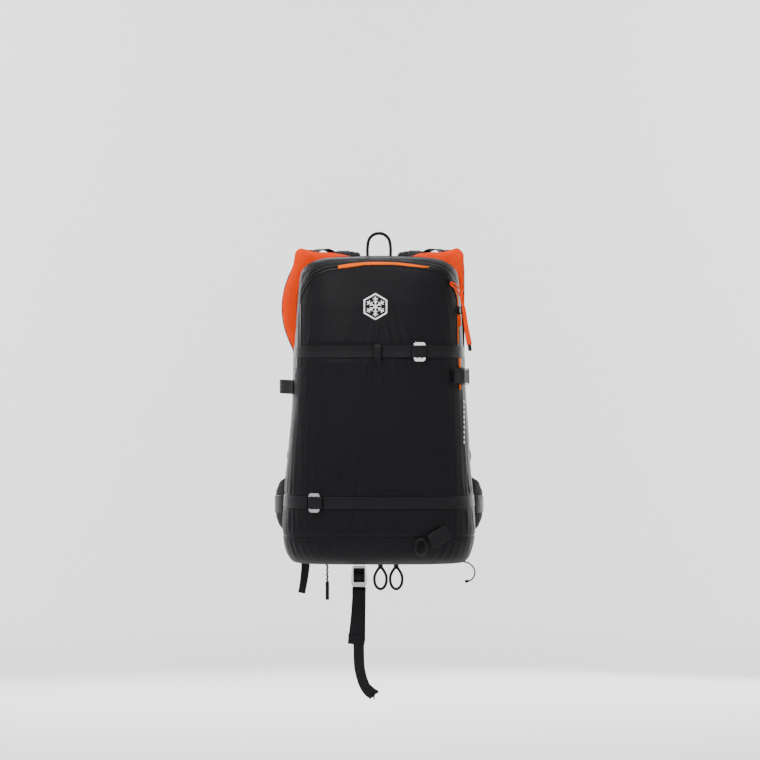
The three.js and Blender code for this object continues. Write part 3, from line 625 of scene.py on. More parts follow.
def make_skin():
    """The sewn shell: one sheet, blown up between its seams and straps, then cut into its panels."""
    grid, kinds = skin_panels()
    rows, columns = grid.shape[:2]
    points = grid.reshape(-1, 3) / 1000 - FRAME_ORIGIN / 1000
    quads = grid_faces(rows, columns)
    whole = piece("skin", points, list(quads.values()), SHELL)
    flat = grid.reshape(-1, 3)
    x, y, z = flat.T
    sewn = np.abs(z - SEAM_BASE) < 1
    outline = window_line(ZIP_MIDDLE, ZIP_END)
    on_front = y < -SIDE_DEPTH
    for i in np.flatnonzero(on_front & (z > ZIP_END)):
        if np.min(np.sum((outline - flat[i, [0, 2]]) ** 2, axis=1)) < 6:
            sewn[i] = True
    under_strap = np.zeros(len(flat), bool)
    for height, _, _ in STRAPS.values():
        under_strap |= (np.abs(z - height) < 8) & (y < -50)
    edge = (y > -3) | (z < 1) | ((z > HEIGHT - 1) & (y > -50))
    edge |= (y > -CHANNEL_FRONT - 4) & (z > CHANNEL_BOTTOM)
    seam_line = (np.abs(np.abs(x) - FRONT_HALF - ZIP_MIDDLE) < 1) & on_front
    held = np.where(sewn | edge | under_strap, 1.0, np.where(seam_line, 0.6, 0.0))
    blow_up(whole, held, pressure=3.0, cap=0.0065, frames=16, stretch=0.015, bending=1.2)
    co = vertex_rows(whole)
    outward = outward_normals(whole, points)
    co = co - outward * (np.where(under_strap, 0.0012, 0) + np.where(sewn & ~under_strap, 0.0008, 0))[:, None]
    bpy.data.objects.remove(whole)
    across = np.concatenate([np.zeros((rows, 1)), np.cumsum(np.linalg.norm(np.diff(grid, axis=1), axis=2),
                                                            axis=1)],
                            axis=1).reshape(-1) / 1000
    tree = BVHTree.FromPolygons([Vector(p) for p in co], [quads[k] for ks in kinds.values() for k in ks])
    for kind, faces in kinds.items():
        used = sorted({i for f in faces for i in quads[f]})
        place_of = {i: k for k, i in enumerate(used)}
        uv = np.column_stack([across[used], z[used] / 1000])
        panel = piece(kind + "_fabric", co[used], [tuple(place_of[i] for i in quads[f]) for f in faces], SHELL,
                      uv)
        modifier(panel, "SUBSURF", levels=2, render_levels=2, boundary_smooth="PRESERVE_CORNERS")
        apply_modifiers(panel)
        ruffle(panel)
        modifier(panel, "SOLIDIFY", thickness=FABRIC_THICKNESS, offset=-1)
        apply_modifiers(panel)
        wear(panel, BEND if kind == "front_flap" else "pack", [kind])
    return tree


SKIN = make_skin()


def touch(tree, points):
    """The nearest points of a surface, and its outward directions there. Points and answers are in metres."""
    found = [tree.find_nearest(Vector(p)) for p in points]
    return np.array([f[0] for f in found]), np.array([f[1] for f in found])


def on_skin(line, lift):
    """The line laid on the bag's skin, lifted a little, and the skin's outward directions there, in metres."""
    spots, normals = touch(SKIN, line)
    return spots + normals * lift, normals


def relax(line, times):
    """A stiffer line: each inner point moves towards the middle of its neighbours."""
    line = line.copy()
    for _ in range(times):
        line[1:-1] = 0.5 * line[1:-1] + 0.25 * (line[:-2] + line[2:])
    return line


def stitches(name, lines):
    """Rows of stitches: short raised threads along each (line, normals)."""
    length, gap, radius = 3.2, 1.8, 0.35
    points, faces = [], []
    for line, normals in lines:
        distance = distances(line) * 1000
        for start in np.arange(1, distance[-1] - length, length + gap):
            ends = looked_up([start, start + length], distance, line)
            up = unit(looked_up([start], distance, normals)[0])
            along = unit(ends[1] - ends[0])
            wide = np.cross(along, up) * radius / 1000
            high = up * radius / 1000
            middle = (ends[0] + ends[1]) / 2 + 1.6 * high
            base = len(points)
            points += [ends[0] - wide - high, ends[0] + wide - high, middle - wide, middle + wide,
                       ends[1] - wide - high, ends[1] + wide - high]
            faces += [(base, base + 1, base + 3, base + 2), (base + 2, base + 3, base + 5, base + 4)]
    wear(piece(name, points, faces, THREAD), "pack")


def sewn_box(line, across, outward, near, far):
    """The lines of a crossed box of stitches on a strap, between two distances along it, in millimetres."""
    half = 7.0
    distance = distances(line) * 1000
    if near < 0:
        near, far = near + distance[-1], far + distance[-1]

    def spots(start, end):
        t = np.linspace(0, 1, 8)[:, None]
        along, aside = (np.array(start) + (np.array(end) - start) * t).T
        centre, way, out = [looked_up(along, distance, rows) for rows in (line, across, outward)]
        return centre + way * aside[:, None] / 1000 + unit(out) * 0.0009, unit(out)

    corners = [(near, -half), (far, -half), (far, half), (near, half), (near, -half), (far, half)]
    return [spots(a, b) for a, b in zip(corners, corners[1:])] + [spots((near, half), (far, -half))]


# ---- what is laid on the fabric ----------------------------------------------------------------------------

def around(z, start, end, count=90):
    """Points on the bag's outline at one height, between the places nearest two given ones."""
    half, depth = size_at(z)
    right = side_line(half, depth, 0, 240)
    line = np.vstack([(right * [-1, 1])[::-1], right[1:]])
    first, last = [int(np.argmin(np.sum((line - p) ** 2, axis=1))) for p in (start, end)]
    return [(x, y, z) for x, y in even(line[first:last + 1], count)]


def on_front(line, lift=0.0):
    """Points on the rounded front, or lift millimetres before it, from pairs of x and z."""
    return [(x, float(front_y(x, z)) - lift, z) for x, z in line]


def frame_along(points, times, tree=None):
    """A relaxed line on the fabric, with its directions across and outwards."""
    line, outward = touch(tree or SKIN, places(points))
    line = relax(line, times)
    outward = unit(relax(outward, times))
    across = unit(np.cross(outward, tangents(line)))
    return line, across, outward


def draped(name, points, section, material, scale=None, even_out=1, trim=0):
    """A section that follows the fabric at each of its points. Its pairs are across and up, in millimetres."""
    line, across, _ = frame_along(points, 3)
    across = unit(relax(across, even_out))
    scale = np.ones(len(line)) if scale is None else np.asarray(scale)
    rows = []
    for offset, lift in section:
        spots, outward = touch(SKIN, line + across * (offset * scale / 1000)[:, None])
        rows.append(relax(spots, even_out) + unit(relax(outward, 2 + even_out)) * lift / 1000)
    kept = slice(trim, len(line) - trim)
    return lofted(name, np.array(rows).transpose(1, 0, 2)[kept], material)


def tape_section(low, high):
    """A flat tape between two places across the line."""
    steps = np.linspace(low, high, max(3, int(abs(high - low) / 2.5) + 1))
    return [(low, -0.8), *[(s, 0.6) for s in steps], (high, -0.8)]


def make_zip():
    """Two tapes with the teeth between them. The inner tape and its teeth are baked in place, given the hinge
    points.
    """
    line = on_front(window_line(ZIP_MIDDLE, ZIP_END))
    outer = draped("zip_tape_outer", line, tape_section(-0.6, -13), TAPE)
    wear(outer, "pack", ["zip_tape"])
    inner = draped("zip_tape_inner", line, tape_section(0.6, 8), TAPE)
    wear(inner, BEND)
    spine, across, outward = frame_along(line, 3)
    even_spine = even(np.hstack([spine, across, outward]), int(len(spine) * 2 / 1.6))
    for side in (-1, 1):
        points, faces = [], []
        for i, row in enumerate(even_spine):
            if (i % 2 == 0) != (side > 0):
                continue
            centre, wide, up = row[:3], unit(row[3:6]), unit(row[6:9])
            ahead = np.cross(wide, up)
            base = len(points)
            for a, b, c in ((-0.9, -1, 0), (1.6, -1, 0), (1.6, 1, 0), (-0.9, 1, 0),
                            (-0.9, -0.7, 1), (1.3, -0.7, 1), (1.3, 0.7, 1), (-0.9, 0.7, 1)):
                points.append(centre + (wide * a * side + ahead * b * 0.7 + up * (c * 1.1 + 0.1)) / 1000)
            faces += [tuple(base + k for k in f) for f in
                      ((4, 5, 6, 7), (0, 4, 7, 3), (1, 2, 6, 5), (0, 1, 5, 4), (3, 7, 6, 2))]
        row = piece("zip_teeth_inner" if side > 0 else "zip_teeth_outer", points, faces, PLASTIC, smooth=False)
        wear(row, BEND if side > 0 else "pack")
    stitches("zip_stitches", [on_skin(spine + across * offset / 1000, 0.0007) for offset in (-12, -10.5)])


def make_piping():
    """The bright piping along the flap's top edge, and the thin line of it down the zip's right side."""
    whole = np.array(window_line(ZIP_MIDDLE, HINGE_Z, 1.0))
    top = whole[(whole[:, 0] > -84) & (whole[:, 0] < 98) & (whole[:, 1] > 470)]
    t = np.linspace(-0.09, 1.09, len(top))
    narrow = np.interp(t, [0, 0.03, 0.2, 0.5, 0.9, 1], [0.06, 0.3, 0.7, 0.95, 1.0, 0.95])
    section = [(-0.6, -0.8), (-0.6, 1.4), (0.8, 2.6), (3, 2.4), (5.6, 2.1), (8.0, 1.7), (8.3, -0.8)]
    arc = draped("top_piping", on_front(top), section, ORANGE_PIPING, scale=narrow, even_out=40, trim=14)
    wear(arc, "flap", ["zip_piping"])
    side = whole[(whole[:, 0] > 115) & (whole[:, 1] < 482)]
    section = [(1.4, -0.8), (1.4, 1.1), (2.2, 1.6), (3.4, 1.1), (3.4, -0.8)]
    t = np.linspace(0, 1, len(side))
    tapered = np.clip(np.minimum(t, 1 - t) / 0.03, 0.05, 1) ** 0.5
    edge = draped("side_piping", on_front(side), section, ORANGE_PIPING, scale=tapered, even_out=6)
    wear(edge, BEND)
    for name, low, high, width in (("zip_end_tab", 331, 352, 6.5), ("zip_end_mark", 295, 304, 4)):
        line = on_front([(FRONT_HALF + 3, z) for z in np.linspace(low, high, 10)])
        w = width / 2
        tab = draped(name, line, [(-w, -0.5), (-w, 1.2), (0, 1.7), (w, 1.2), (w, -0.5)], ORANGE_PIPING)
        wear(tab, "pack")


def make_bag_straps():
    """Compression straps, with a short sleeve of webbing round each hook that opens with it."""
    sewing = []
    for name, (z, hook_x, off) in STRAPS.items():
        before, after = on_front([(hook_x - HOOK_GAP, z), (hook_x + HOOK_GAP, z)])
        ends = {"left": ((-165, -66), before[:2]), "right": (after[:2], (165, -66))}
        for side, (start, end) in ends.items():
            line, across, outward = frame_along(around(z, start, end), 8)
            ramp = np.linspace(0, 1, len(line)) if side == "left" else np.linspace(1, 0, len(line))
            lift = np.interp(ramp, [0, 0.04, 0.9, 1], [0.6, 1.6, 2.2, off + WEBBING / 2]) / 1000
            made = sweep(f"{name}_strap_{side}_webbing", line + outward * lift[:, None], across,
                         strap_section(0.020, 0.0017), WEBBING_BLACK)
            wear(made, "pack", [f"{name}_strap_{side}"])
            near, far = (4, 19) if side == "left" else (-19, -4)
            sewing += sewn_box(line + outward * lift[:, None], across, outward, near, far)
        reach = (-13.2, 10.1) if name == "upper" else (-10.1, 13.2)
        start, end = [spot[:2] for spot in on_front([(hook_x + x, z) for x in reach])]
        line, across, outward = frame_along(around(z, start, end, 18), 8)
        lift = np.interp(np.linspace(0, 1, 18), [0, 0.14, 0.86, 1], [1.4, 4.8, 4.8, 3.6]) + off
        sleeve = sweep(f"{name}_hook_webbing", line + outward * lift[:, None] / 1000, across,
                       strap_section(0.0205, 0.0017), WEBBING_BLACK)
        wear(sleeve, f"{name}_hook")
    stitches("strap_end_stitches", sewing)


def make_side_webbing():
    """The wide loop on the left, the folded strap end on the right and the keeper over the upper strap."""
    line, _, outward = frame_along(around(299, (-152, -28), (-142, -120), 50), 6)
    t = np.linspace(0, 1, 50)[:, None]
    loop = sweep("ski_side_loop", line + outward * (1.6 + 20 * np.sin(np.pi * t) ** 2) / 1000, (0, 0, 1),
                 strap_section(0.024, 0.0019), WEBBING_BLACK)
    wear(loop, "pack", ["side_loop"])

    line, _, outward = frame_along(around(317, (118, -160), (149, -88), 40), 6)
    route = []
    for layer, lift in enumerate((2.0, 4.1, 6.2)):
        run = line + outward * lift / 1000
        route += list(run if layer % 2 == 0 else run[::-1])
        route[-1] = route[-1] + outward[-1 if layer % 2 == 0 else 0] * 0.001
    bundle = sweep("folded_strap_webbing", relax(np.array(route), 3), (0, 0, 1), strap_section(0.0235, 0.0016),
                   WEBBING_BLACK)
    wear(bundle, "pack", ["folded_strap"])
    wrapped = [(0.6, -13), (4, -13.6), (7.6, -13), (8.2, -8), (8.3, 0), (8.2, 8), (7.6, 13), (4, 13.6),
               (0.6, 13)]
    for number, index in enumerate((13, 27)):
        centre, out, ahead = line[index], outward[index], tangents(line)[index]
        ring = [centre + out * (a / 1000) + Vector((0, 0, 1)) * (b / 1000) for a, b in wrapped]
        band = sweep(f"strap_keeper_{number}", np.array([tuple(p) for p in ring]), tuple(ahead),
                     strap_section(0.007, 0.0011), BINDING)
        wear(band, "pack")

    keeper = [(337, 0.6), (342, 3), (347, 6.8), (352, 7.4), (358, 7.6), (364, 7.6), (368.6, 6.9), (371, 4),
              (372, 0.8)]
    points = [on_front([(-3, z)], lift)[0] for z, lift in keeper]
    made = strap("shaft_keeper", places(points), (1, 0, 0), 12, 1.5, count=30)
    wear(made, "pack", ["tool_keeper"])


def make_seam_lines():
    """Stitches beside the seams of the front, the base and the top."""
    rows = []
    for x in (FRONT_HALF - 3, -FRONT_HALF + 3):
        rows.append(on_front([(x, z) for z in np.linspace(SEAM_BASE + 4, ZIP_END - 2, 120)]))
    for z in (SEAM_BASE - 4, SEAM_BASE + 4):
        rows.append(around(z, (-163, -26), (163, -26), 260))
    stitches("panel_stitches", [on_skin(frame_along(row, 2)[0], 0.0003) for row in rows])


def crystal():
    """A six-armed snow crystal inside a hexagon ring, as bars: (start, end, half width), in millimetres."""
    bars = []
    for k in range(6):
        a = k * math.pi / 3 + math.pi / 2
        b = a + math.pi / 3
        bars.append(((21.4 * math.cos(a), 21.4 * math.sin(a)), (21.4 * math.cos(b), 21.4 * math.sin(b)), 1.2))
        arm = np.array([math.cos(a), math.sin(a)])
        bars.append(((0, 0), tuple(arm * 16), 1.0))
        for reach, length in ((6.5, 4.0), (11, 4.6)):
            for turn in (1, -1):
                branch = np.array([math.cos(a + turn * math.pi / 3.4), math.sin(a + turn * math.pi / 3.4)])
                bars.append((tuple(arm * reach), tuple(arm * reach + branch * length), 0.8))
    return bars


def make_emblem():
    """The generic printed mark."""
    points, faces = [], []
    for start, end, half in crystal():
        start, end = np.array(start), np.array(end)
        ahead = (end - start) / np.linalg.norm(end - start)
        wide = np.array([-ahead[1], ahead[0]]) * half
        start, end = start - ahead * half * 0.5, end + ahead * half * 0.5
        steps = np.linspace(0, 1, 8)
        base = len(points)
        for t in steps:
            middle = EMBLEM_AT + start + (end - start) * t
            points += [middle - wide, middle + wide]
        faces += [(base + 2 * i, base + 2 * i + 2, base + 2 * i + 3,
                   base + 2 * i + 1) for i in range(len(steps) - 1)]
    mark = piece("printed_mark", on_skin(places(on_front(points)), 0.0004)[0], faces, PRINT)
    wear(mark, "flap", ["emblem"])


def make_side_marks():
    """Small pale reflective dashes down the bag's right corner."""
    points, faces = [], []
    for z in np.arange(206, 280, 8.5):
        spot, normal = touch(SKIN, [place(142.5, float(front_y(142.5, z)), z)])
        out = Vector(tuple(normal[0])).normalized()
        aside = out.cross(Vector((0, 0, 1))).normalized()
        up = aside.cross(out)
        middle = Vector(tuple(spot[0])) + out * 0.0013
        points += [middle + aside * (x / 1000) + up * (y / 1000) for x,
                   y in ((-2, -2.4), (-2, 2.4), (2, 2.4), (2, -2.4))]
        faces.append(tuple(range(len(points) - 4, len(points))))
    wear(piece("reflective_dashes", points, faces, PRINT), "pack")


# ---- padded pieces -----------------------------------------------------------------------------------------

def groove(distance, width):
    """1 in the middle of a channel, falling to 0 at its edges."""
    return np.exp(-(np.abs(distance) / width) ** 3)


def stuffed(name, node, body, held=None, mould=None, voxel=0.005, cap=0.005):
    """A soft copy of a CAD solid: its surface remade in even faces, blown up, moulded and rounded off."""
    made = bpy.data.objects.new(name, NODES[node].data.copy())
    bpy.context.scene.collection.objects.link(made)
    modifier(made, "REMESH", mode="VOXEL", voxel_size=voxel, use_smooth_shade=True)
    apply_modifiers(made)
    co = vertex_rows(made) - vertex_rows(made, "normal") * 0.0015
    set_coordinates(made, co)
    pins = np.zeros(len(co)) if held is None else held(bag_millimetres(co)).astype(float)
    blow_up(made, pins, pressure=4.0, cap=cap, frames=14)
    co = vertex_rows(made)
    set_coordinates(made, co + mould(bag_millimetres(co), vertex_rows(made, "normal")) / 1000)
    modifier(made, "SUBSURF", levels=1, render_levels=1)
    apply_modifiers(made)
    dress(made, FOAM)
    wear(made, body, [node])
    return made


def tree_of(made):
    points = [v.co for v in made.data.vertices]
    return BVHTree.FromPolygons(points, [tuple(p.vertices) for p in made.data.polygons])


def rounded_loop(half_width, half_height, radius, middle_z, y):
    """A closed rounded rectangle in an upright plane."""
    points = []
    for cx, cz, start in ((1, 1, 0), (-1, 1, 1), (-1, -1, 2), (1, -1, 3)):
        for a in np.linspace(start, start + 1, 10) * math.pi / 2:
            points.append((cx * (half_width - radius) + radius * math.cos(a), y,
                           middle_z + cz * (half_height - radius) + radius * math.sin(a)))
    points.append(points[0])
    return even(np.array(points), 161)[:-1]


def edge_tape(name, loop, thickness, width=3.2):
    """Binding sewn round an edge, in a closed loop of bag points."""
    line = np.array(places(loop))
    section = [(width / 2000 * math.cos(a), thickness / 2000 * math.sin(a)) for a in full_turn(12)]
    made = sweep(name, line, np.cross(tangents(line, True), (0, 1, 0)), section, BINDING, closed=True)
    wear(made, "pack")


def make_back_pads():
    """The main pad with its air channels and the lumbar pad below it, both edged with tape."""
    def pressed(normals, depth):
        return -np.array([0, 1, 0]) * np.clip(normals[:, 1], 0, 1)[:, None] * depth[:, None]

    def back_mould(p, normals):
        depth = 7.5 * groove(p[:, 0], 12)
        for z in (256, 352):
            depth = np.maximum(depth, 6.5 * groove(p[:, 2] - z - 0.1 * np.abs(p[:, 0]), 7))
        for x in (-58, 58):
            depth = np.maximum(depth, 2.2 * groove(p[:, 0] - x, 4))
        return pressed(normals, depth)

    def lumbar_mould(p, normals):
        depth = 9 * groove(p[:, 0], 15)
        for x in (-72, 72):
            depth = np.maximum(depth, 5 * groove(p[:, 0] - x, 6))
        return pressed(normals, depth)

    stuffed("back_padding", "back_pad", "pack", lambda p: p[:, 1] < 13, back_mould)
    stuffed("lumbar_padding", "lumbar_pad", "pack", lambda p: p[:, 1] < 9, lumbar_mould)
    edge_tape("back_pad_binding", rounded_loop(100.5, 144.5, 26, 304, 12.5), 5)
    edge_tape("lumbar_pad_binding", rounded_loop(136.5, 55.5, 24, 94, 9), 5)


STRAP_PATH = [(56, 14, 462), (57, 24, 492), (60, 42, 519), (63, 70, 532), (67, 98, 518), (72, 114, 484),
              (77, 119, 450), (81, 119, 400), (86, 119, 345), (97, 115, 305), (112, 106, 268), (128, 96, 243)]
WING_PATH = [(156, 18, 94), (167, 38, 94), (175, 78, 92), (172, 122, 91), (156, 162, 90), (132, 190, 90)]


def band_mould(line, across, half_width):
    """A sewn channel a little inside both edges of a padded band."""
    def mould(p, normals):
        gaps = np.linalg.norm(p[:, None, :] - line[None, ::3, :], axis=2)
        nearest = np.argmin(gaps, axis=1) * 3
        sideways = np.abs(np.sum((p - line[nearest]) * across[nearest], axis=1))
        facing = 1 - np.abs(np.sum(normals * across[nearest], axis=1))
        sunk = 2.4 * groove(sideways - half_width[nearest] + 7, 2.6)
        return -normals * (sunk * facing)[:, None]
    return mould


def make_padded_band(name, node, path, across, half_width, half_thickness, body):
    """A shoulder strap or a wing of the hip belt: the stuffed band and the tape round its edges."""
    line = smooth_line(path, 120)
    t = np.linspace(0, 1, len(line))
    half = half_width(t)
    ways = np.broadcast_to(np.asarray(across, float), line.shape)
    along = tangents(line)
    ways = unit(ways - along * np.sum(ways * along, axis=1, keepdims=True))
    made = stuffed(name, node, body, mould=band_mould(line, ways, half), voxel=0.004, cap=0.004)
    tree = tree_of(made)
    out = np.cross(along, ways)
    edges = []
    for side in (1, -1):
        row = []
        for p, way, reach in zip(line[2:-2], ways[2:-2] * side, half[2:-2]):
            hit = tree.ray_cast(place(*(p + way * (reach + 14))), Vector(-way), 0.05)[0]
            row.append(tuple(hit or place(*(p + way * (reach - 2)))))
        edges.append(relax(np.array(row), 5))
    section = [(half_thickness * 0.55 * math.sin(a), 1.9 * math.cos(a)) for a in full_turn(10)]
    outs = np.vstack([out[2:-2], out[2:-2][::-1]])
    tape = sweep(name + "_binding", np.vstack([edges[0], edges[1][::-1]]), outs, np.array(section) / 1000,
                 BINDING, closed=True)
    wear(tape, body)
    return tree, line, out


def laid_strap(name, tree, line, out, first, last, width, body):
    """Webbing on a padded band's outer face, between two shares of its length."""
    count = len(line)
    part = slice(int(first * count), max(int(last * count), int(first * count) + 4))
    start = np.array(places(line[part])) + out[part] * 0.02
    hits = []
    for p, o in zip(start, out[part]):
        hit = tree.ray_cast(Vector(p), Vector(-o), 0.04)[0]
        hits.append(tuple(hit) if hit else tuple(Vector(p) - Vector(o) * 0.012))
    hits = relax(np.array(hits), 4) + out[part] * (0.6 + WEBBING / 2) / 1000
    across = np.cross(out[part], tangents(hits))
    made = sweep(name, hits, across, strap_section(width / 1000, WEBBING / 1000), WEBBING_BLACK)
    wear(made, body)


def make_shoulder_strap(side, flip):
    path = mirrored(STRAP_PATH, flip)
    tree, line, out = make_padded_band(f"shoulder_padding_{side}", f"shoulder_strap_{side}", path, (-1, 0, 0),
                                       lambda t: 29 - 7 * t * t, 7, "pack")
    laid_strap(f"shoulder_webbing_{side}", tree, line, out, 0.12, 0.985, 20, "pack")
    bars = (0.36, 0.80) if side == "left" else (0.36, 0.57, 0.80)
    for number, share in enumerate(bars):
        index = int(share * len(line))
        centre = Vector(tuple(place(*line[index]))) + Vector(out[index]) * 0.03
        hit = tree.ray_cast(centre, Vector(-out[index]), 0.05)[0]
        ahead = tangents(line)[index]
        bar = [Vector(hit) + Vector(out[index]) * (lift / 1000) + Vector((1, 0, 0)) * (x / 1000)
               for x, lift in ((-20, -0.5), (-17, 1.2), (-11, 3.2), (0, 3.6), (11, 3.2), (17, 1.2), (20, -0.5))]
        made = sweep(f"strap_bar_{side}_{number}", np.array([tuple(p) for p in bar]), tuple(ahead),
                     strap_section(0.010, 0.0013), WEBBING_BLACK)
        wear(made, "pack")

    lifter = [(74, 89, 525), (80, 76, 534), (95, 57, 541), (112, 34, 536), (127, 12, 520), (131, 5.5, 500)]
    points = smooth_line(places(mirrored(lifter, flip)), 40)
    t = np.linspace(0, 1, 40)
    across = np.column_stack([np.full(40, 0.8), 0.55 * flip * (1 - t), np.zeros(40)])
    made = sweep(f"load_lifter_webbing_{side}", points, across, strap_section(0.016, 0.0016), WEBBING_BLACK)
    wear(made, "pack", [f"load_lifter_{side}"])

    lower = [(138, 92, 226), (142, 87, 214), (145, 82, 204), (151, 74, 192), (157, 48, 172), (156, 22, 162),
             (150, 5.6, 160)]
    made = strap(f"lower_strap_webbing_{side}", places(mirrored(lower, flip)), (0.35 * flip, 0, 1), 20)
    wear(made, "pack", [f"lower_webbing_{side}"])


def make_hip_wing(side, flip):
    path = mirrored(WING_PATH, flip)
    body = f"hip_wing_{side}"
    tree, line, out = make_padded_band(f"hip_padding_{side}", body, path, (0, 0, 1.0),
                                       lambda t: 50 - 56 * t + 30 * t * t, 6.5, body)
    facing = out if out[60].dot(np.array([flip, 0, 0])) > 0 else -out
    laid_strap(f"hip_outer_webbing_{side}", tree, line, facing, 0.04, 0.96, 30, body)
    points = [(139, 180, 90), (131, 192, 90), (113, 207, 89), (94, 215.5, 88), (73, 218.5, 88)]
    made = strap(f"hip_belt_webbing_{side}", places(mirrored(points, flip)), (0, 0, 1), 34, 1.6)
    wear(made, body, [f"hip_webbing_{side}"])
    rows = []
    for x, y, tall, thick in ((116, 10, 40, 1), (126, 12, 44, 5), (138, 14, 47, 8), (148, 17, 49, 9.5),
                              (156, 22, 49, 10), (161, 28, 47, 8.5)):
        rows.append([tuple(place(flip * x + flip * thick * 0.5 * math.cos(a) * (x > 150),
                                 y + thick * math.cos(a), 94 + tall * math.sin(a))) for a in full_turn(24)])
    root = lofted(f"hip_wing_root_{side}", rows, FOAM)
    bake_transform(root)


# ---- the back and the airbag -------------------------------------------------------------------------------

CHANNEL = [
    ((147, 363), (117, 363)), ((147, 385), (116, 385)), ((147, 410), (116, 410)), ((147, 440), (116, 440)),
    ((147, 470), (114, 461)), ((147, 497), (107, 474)), ((147, 518), (100, 480)), ((145.5, 532), (92, 483)),
    ((137, 539.5), (84, 484)), ((126, 537), (75, 484)), ((112, 533.2), (66, 484)), ((88, 532), (55, 484)),
    ((69, 530), (44, 484)), ((56, 524.5), (33, 484)), ((38, 521.5), (24, 484)), ((18, 521), (16, 484)),
]
LEFT_BULGE = 21
RIGHT_TUCK = 5


def channel_pairs():
    """The channel's outer and inner edges from the lower right, over the top, to the lower left."""
    right, left = [], []
    for (x, z), inner in CHANNEL:
        low = 1 / (1 + math.exp((z - 458) / 5))
        right.append(((x - RIGHT_TUCK * low, z), inner))
        hump = max(0.0, 1 - ((z - 436) / 74) ** 2)
        tip = 2.2 * (30 < x < 60)
        left.append(((-x - LEFT_BULGE * hump, z + tip), (-inner[0], inner[1])))
    return right + left[::-1]


def channel_tube(name, inset, wrinkle, node):
    """A soft tube along the channel, with small gathers across it."""
    pairs = channel_pairs()
    outer = smooth_line([(x, 0, z) for (x, z), _ in pairs], 220)
    inner = smooth_line([(x, 0, z) for _, (x, z) in pairs], 220)
    depth = CHANNEL_FRONT / 2
    rows = []
    for i, (centre, reach) in enumerate(zip((outer + inner) / 2, (outer - inner) / 2)):
        size = np.linalg.norm(reach)
        way = reach / size
        row = []
        for a in full_turn(32):
            c, s = math.cos(a), math.sin(a)
            wide = math.copysign(abs(c) ** 0.55, c) * (size - inset)
            deep = math.copysign(abs(s) ** 0.55, s) * (depth - inset)
            gather = math.sin(i * 0.42 + 1.7 * math.sin(i * 0.09))
            ripple = wrinkle * (gather * (0.6 + 0.4 * math.sin(3 * a + i * 0.05))
                                + 0.6 * math.sin(i * 0.93 + 2.1 * a))
            gain = 1 + ripple / max(size, 10)
            row.append(np.array([0, -depth - 0.2, 0]) + centre + way * wide * gain + np.array([0, deep * gain,
                                                                                               0]))
        rows.append([tuple(place(*p)) for p in row])
    made = lofted(name, rows, ORANGE)
    modifier(made, "SUBSURF", levels=1, render_levels=1)
    apply_modifiers(made)
    return wear(made, "pack", [node])


def make_airbag():
    """The folded airbag inside its orange cover, with the cover's front seam."""
    channel_tube("airbag_folds", 4.5, 1.4, "folded_airbag")
    cover = channel_tube("airbag_cover_fabric", 0.6, 0.5, "airbag_cover")
    edge = [((x + u) / 2, -CHANNEL_FRONT - 1, (z + w) / 2 + 4) for (x, z), (u, w) in channel_pairs()]
    line, _, outward = frame_along(smooth_line(edge, 260), 2, tree_of(cover))
    stitches("airbag_cover_stitches", [(line + outward * 0.0004, outward)])


def make_cover_seam():
    """The bound seam where the bag's sides and top meet the airbag's cover."""
    side = [(float(size_at(z)[0]), COVER_SEAM, z) for z in np.arange(367, 512, 4)]
    top = [(x, COVER_SEAM, HEIGHT + 1) for x in np.arange(104, -105, -4)]
    route = side + top + mirrored(side[::-1])
    line = relax(even(touch(SKIN, places(route))[0], 240), 6)
    made = sweep("cover_seam", line, steady_across(line, (0, 1, 0)), round_section(0.0021, 10), BINDING)
    wear(made, "pack")


BACK_EDGE = [(2, 131), (5, 142), (12, 152), (25, 159), (45, 161), (90, 160), (130, 157), (230, 150), (362, 147),
             (440, 147), (505, 147), (520, 145.5), (531, 139), (537, 129)]
TOP_EDGE = ([0, 38, 54, 70, 88, 114, 128, 137, 145, 147],
            [520.4, 520.6, 523.6, 528.6, 530.6, 531.8, 535.2, 537, 531, 527])


def back_grid():
    """Points over the back wall, in bag millimetres, from its bottom row to its top."""
    heights, widths = np.array(BACK_EDGE, float).T
    grid = []
    for v in np.linspace(0, 1, 107):
        row = []
        for u in np.linspace(-1, 1, 61):
            top = float(np.interp(abs(u) * 147, *TOP_EDGE))
            z = 2 + v * (top - 2)
            half = np.interp(min(z, 537), heights, widths)
            swell = max(0.0, 1 - ((z - 436) / 74) ** 2) * LEFT_BULGE if u < -0.6 else 0.0
            row.append((u * half - swell * ((-0.6 - u) / 0.4) ** 2, 0.0, z))
        grid.append(row)
    return np.array(grid)


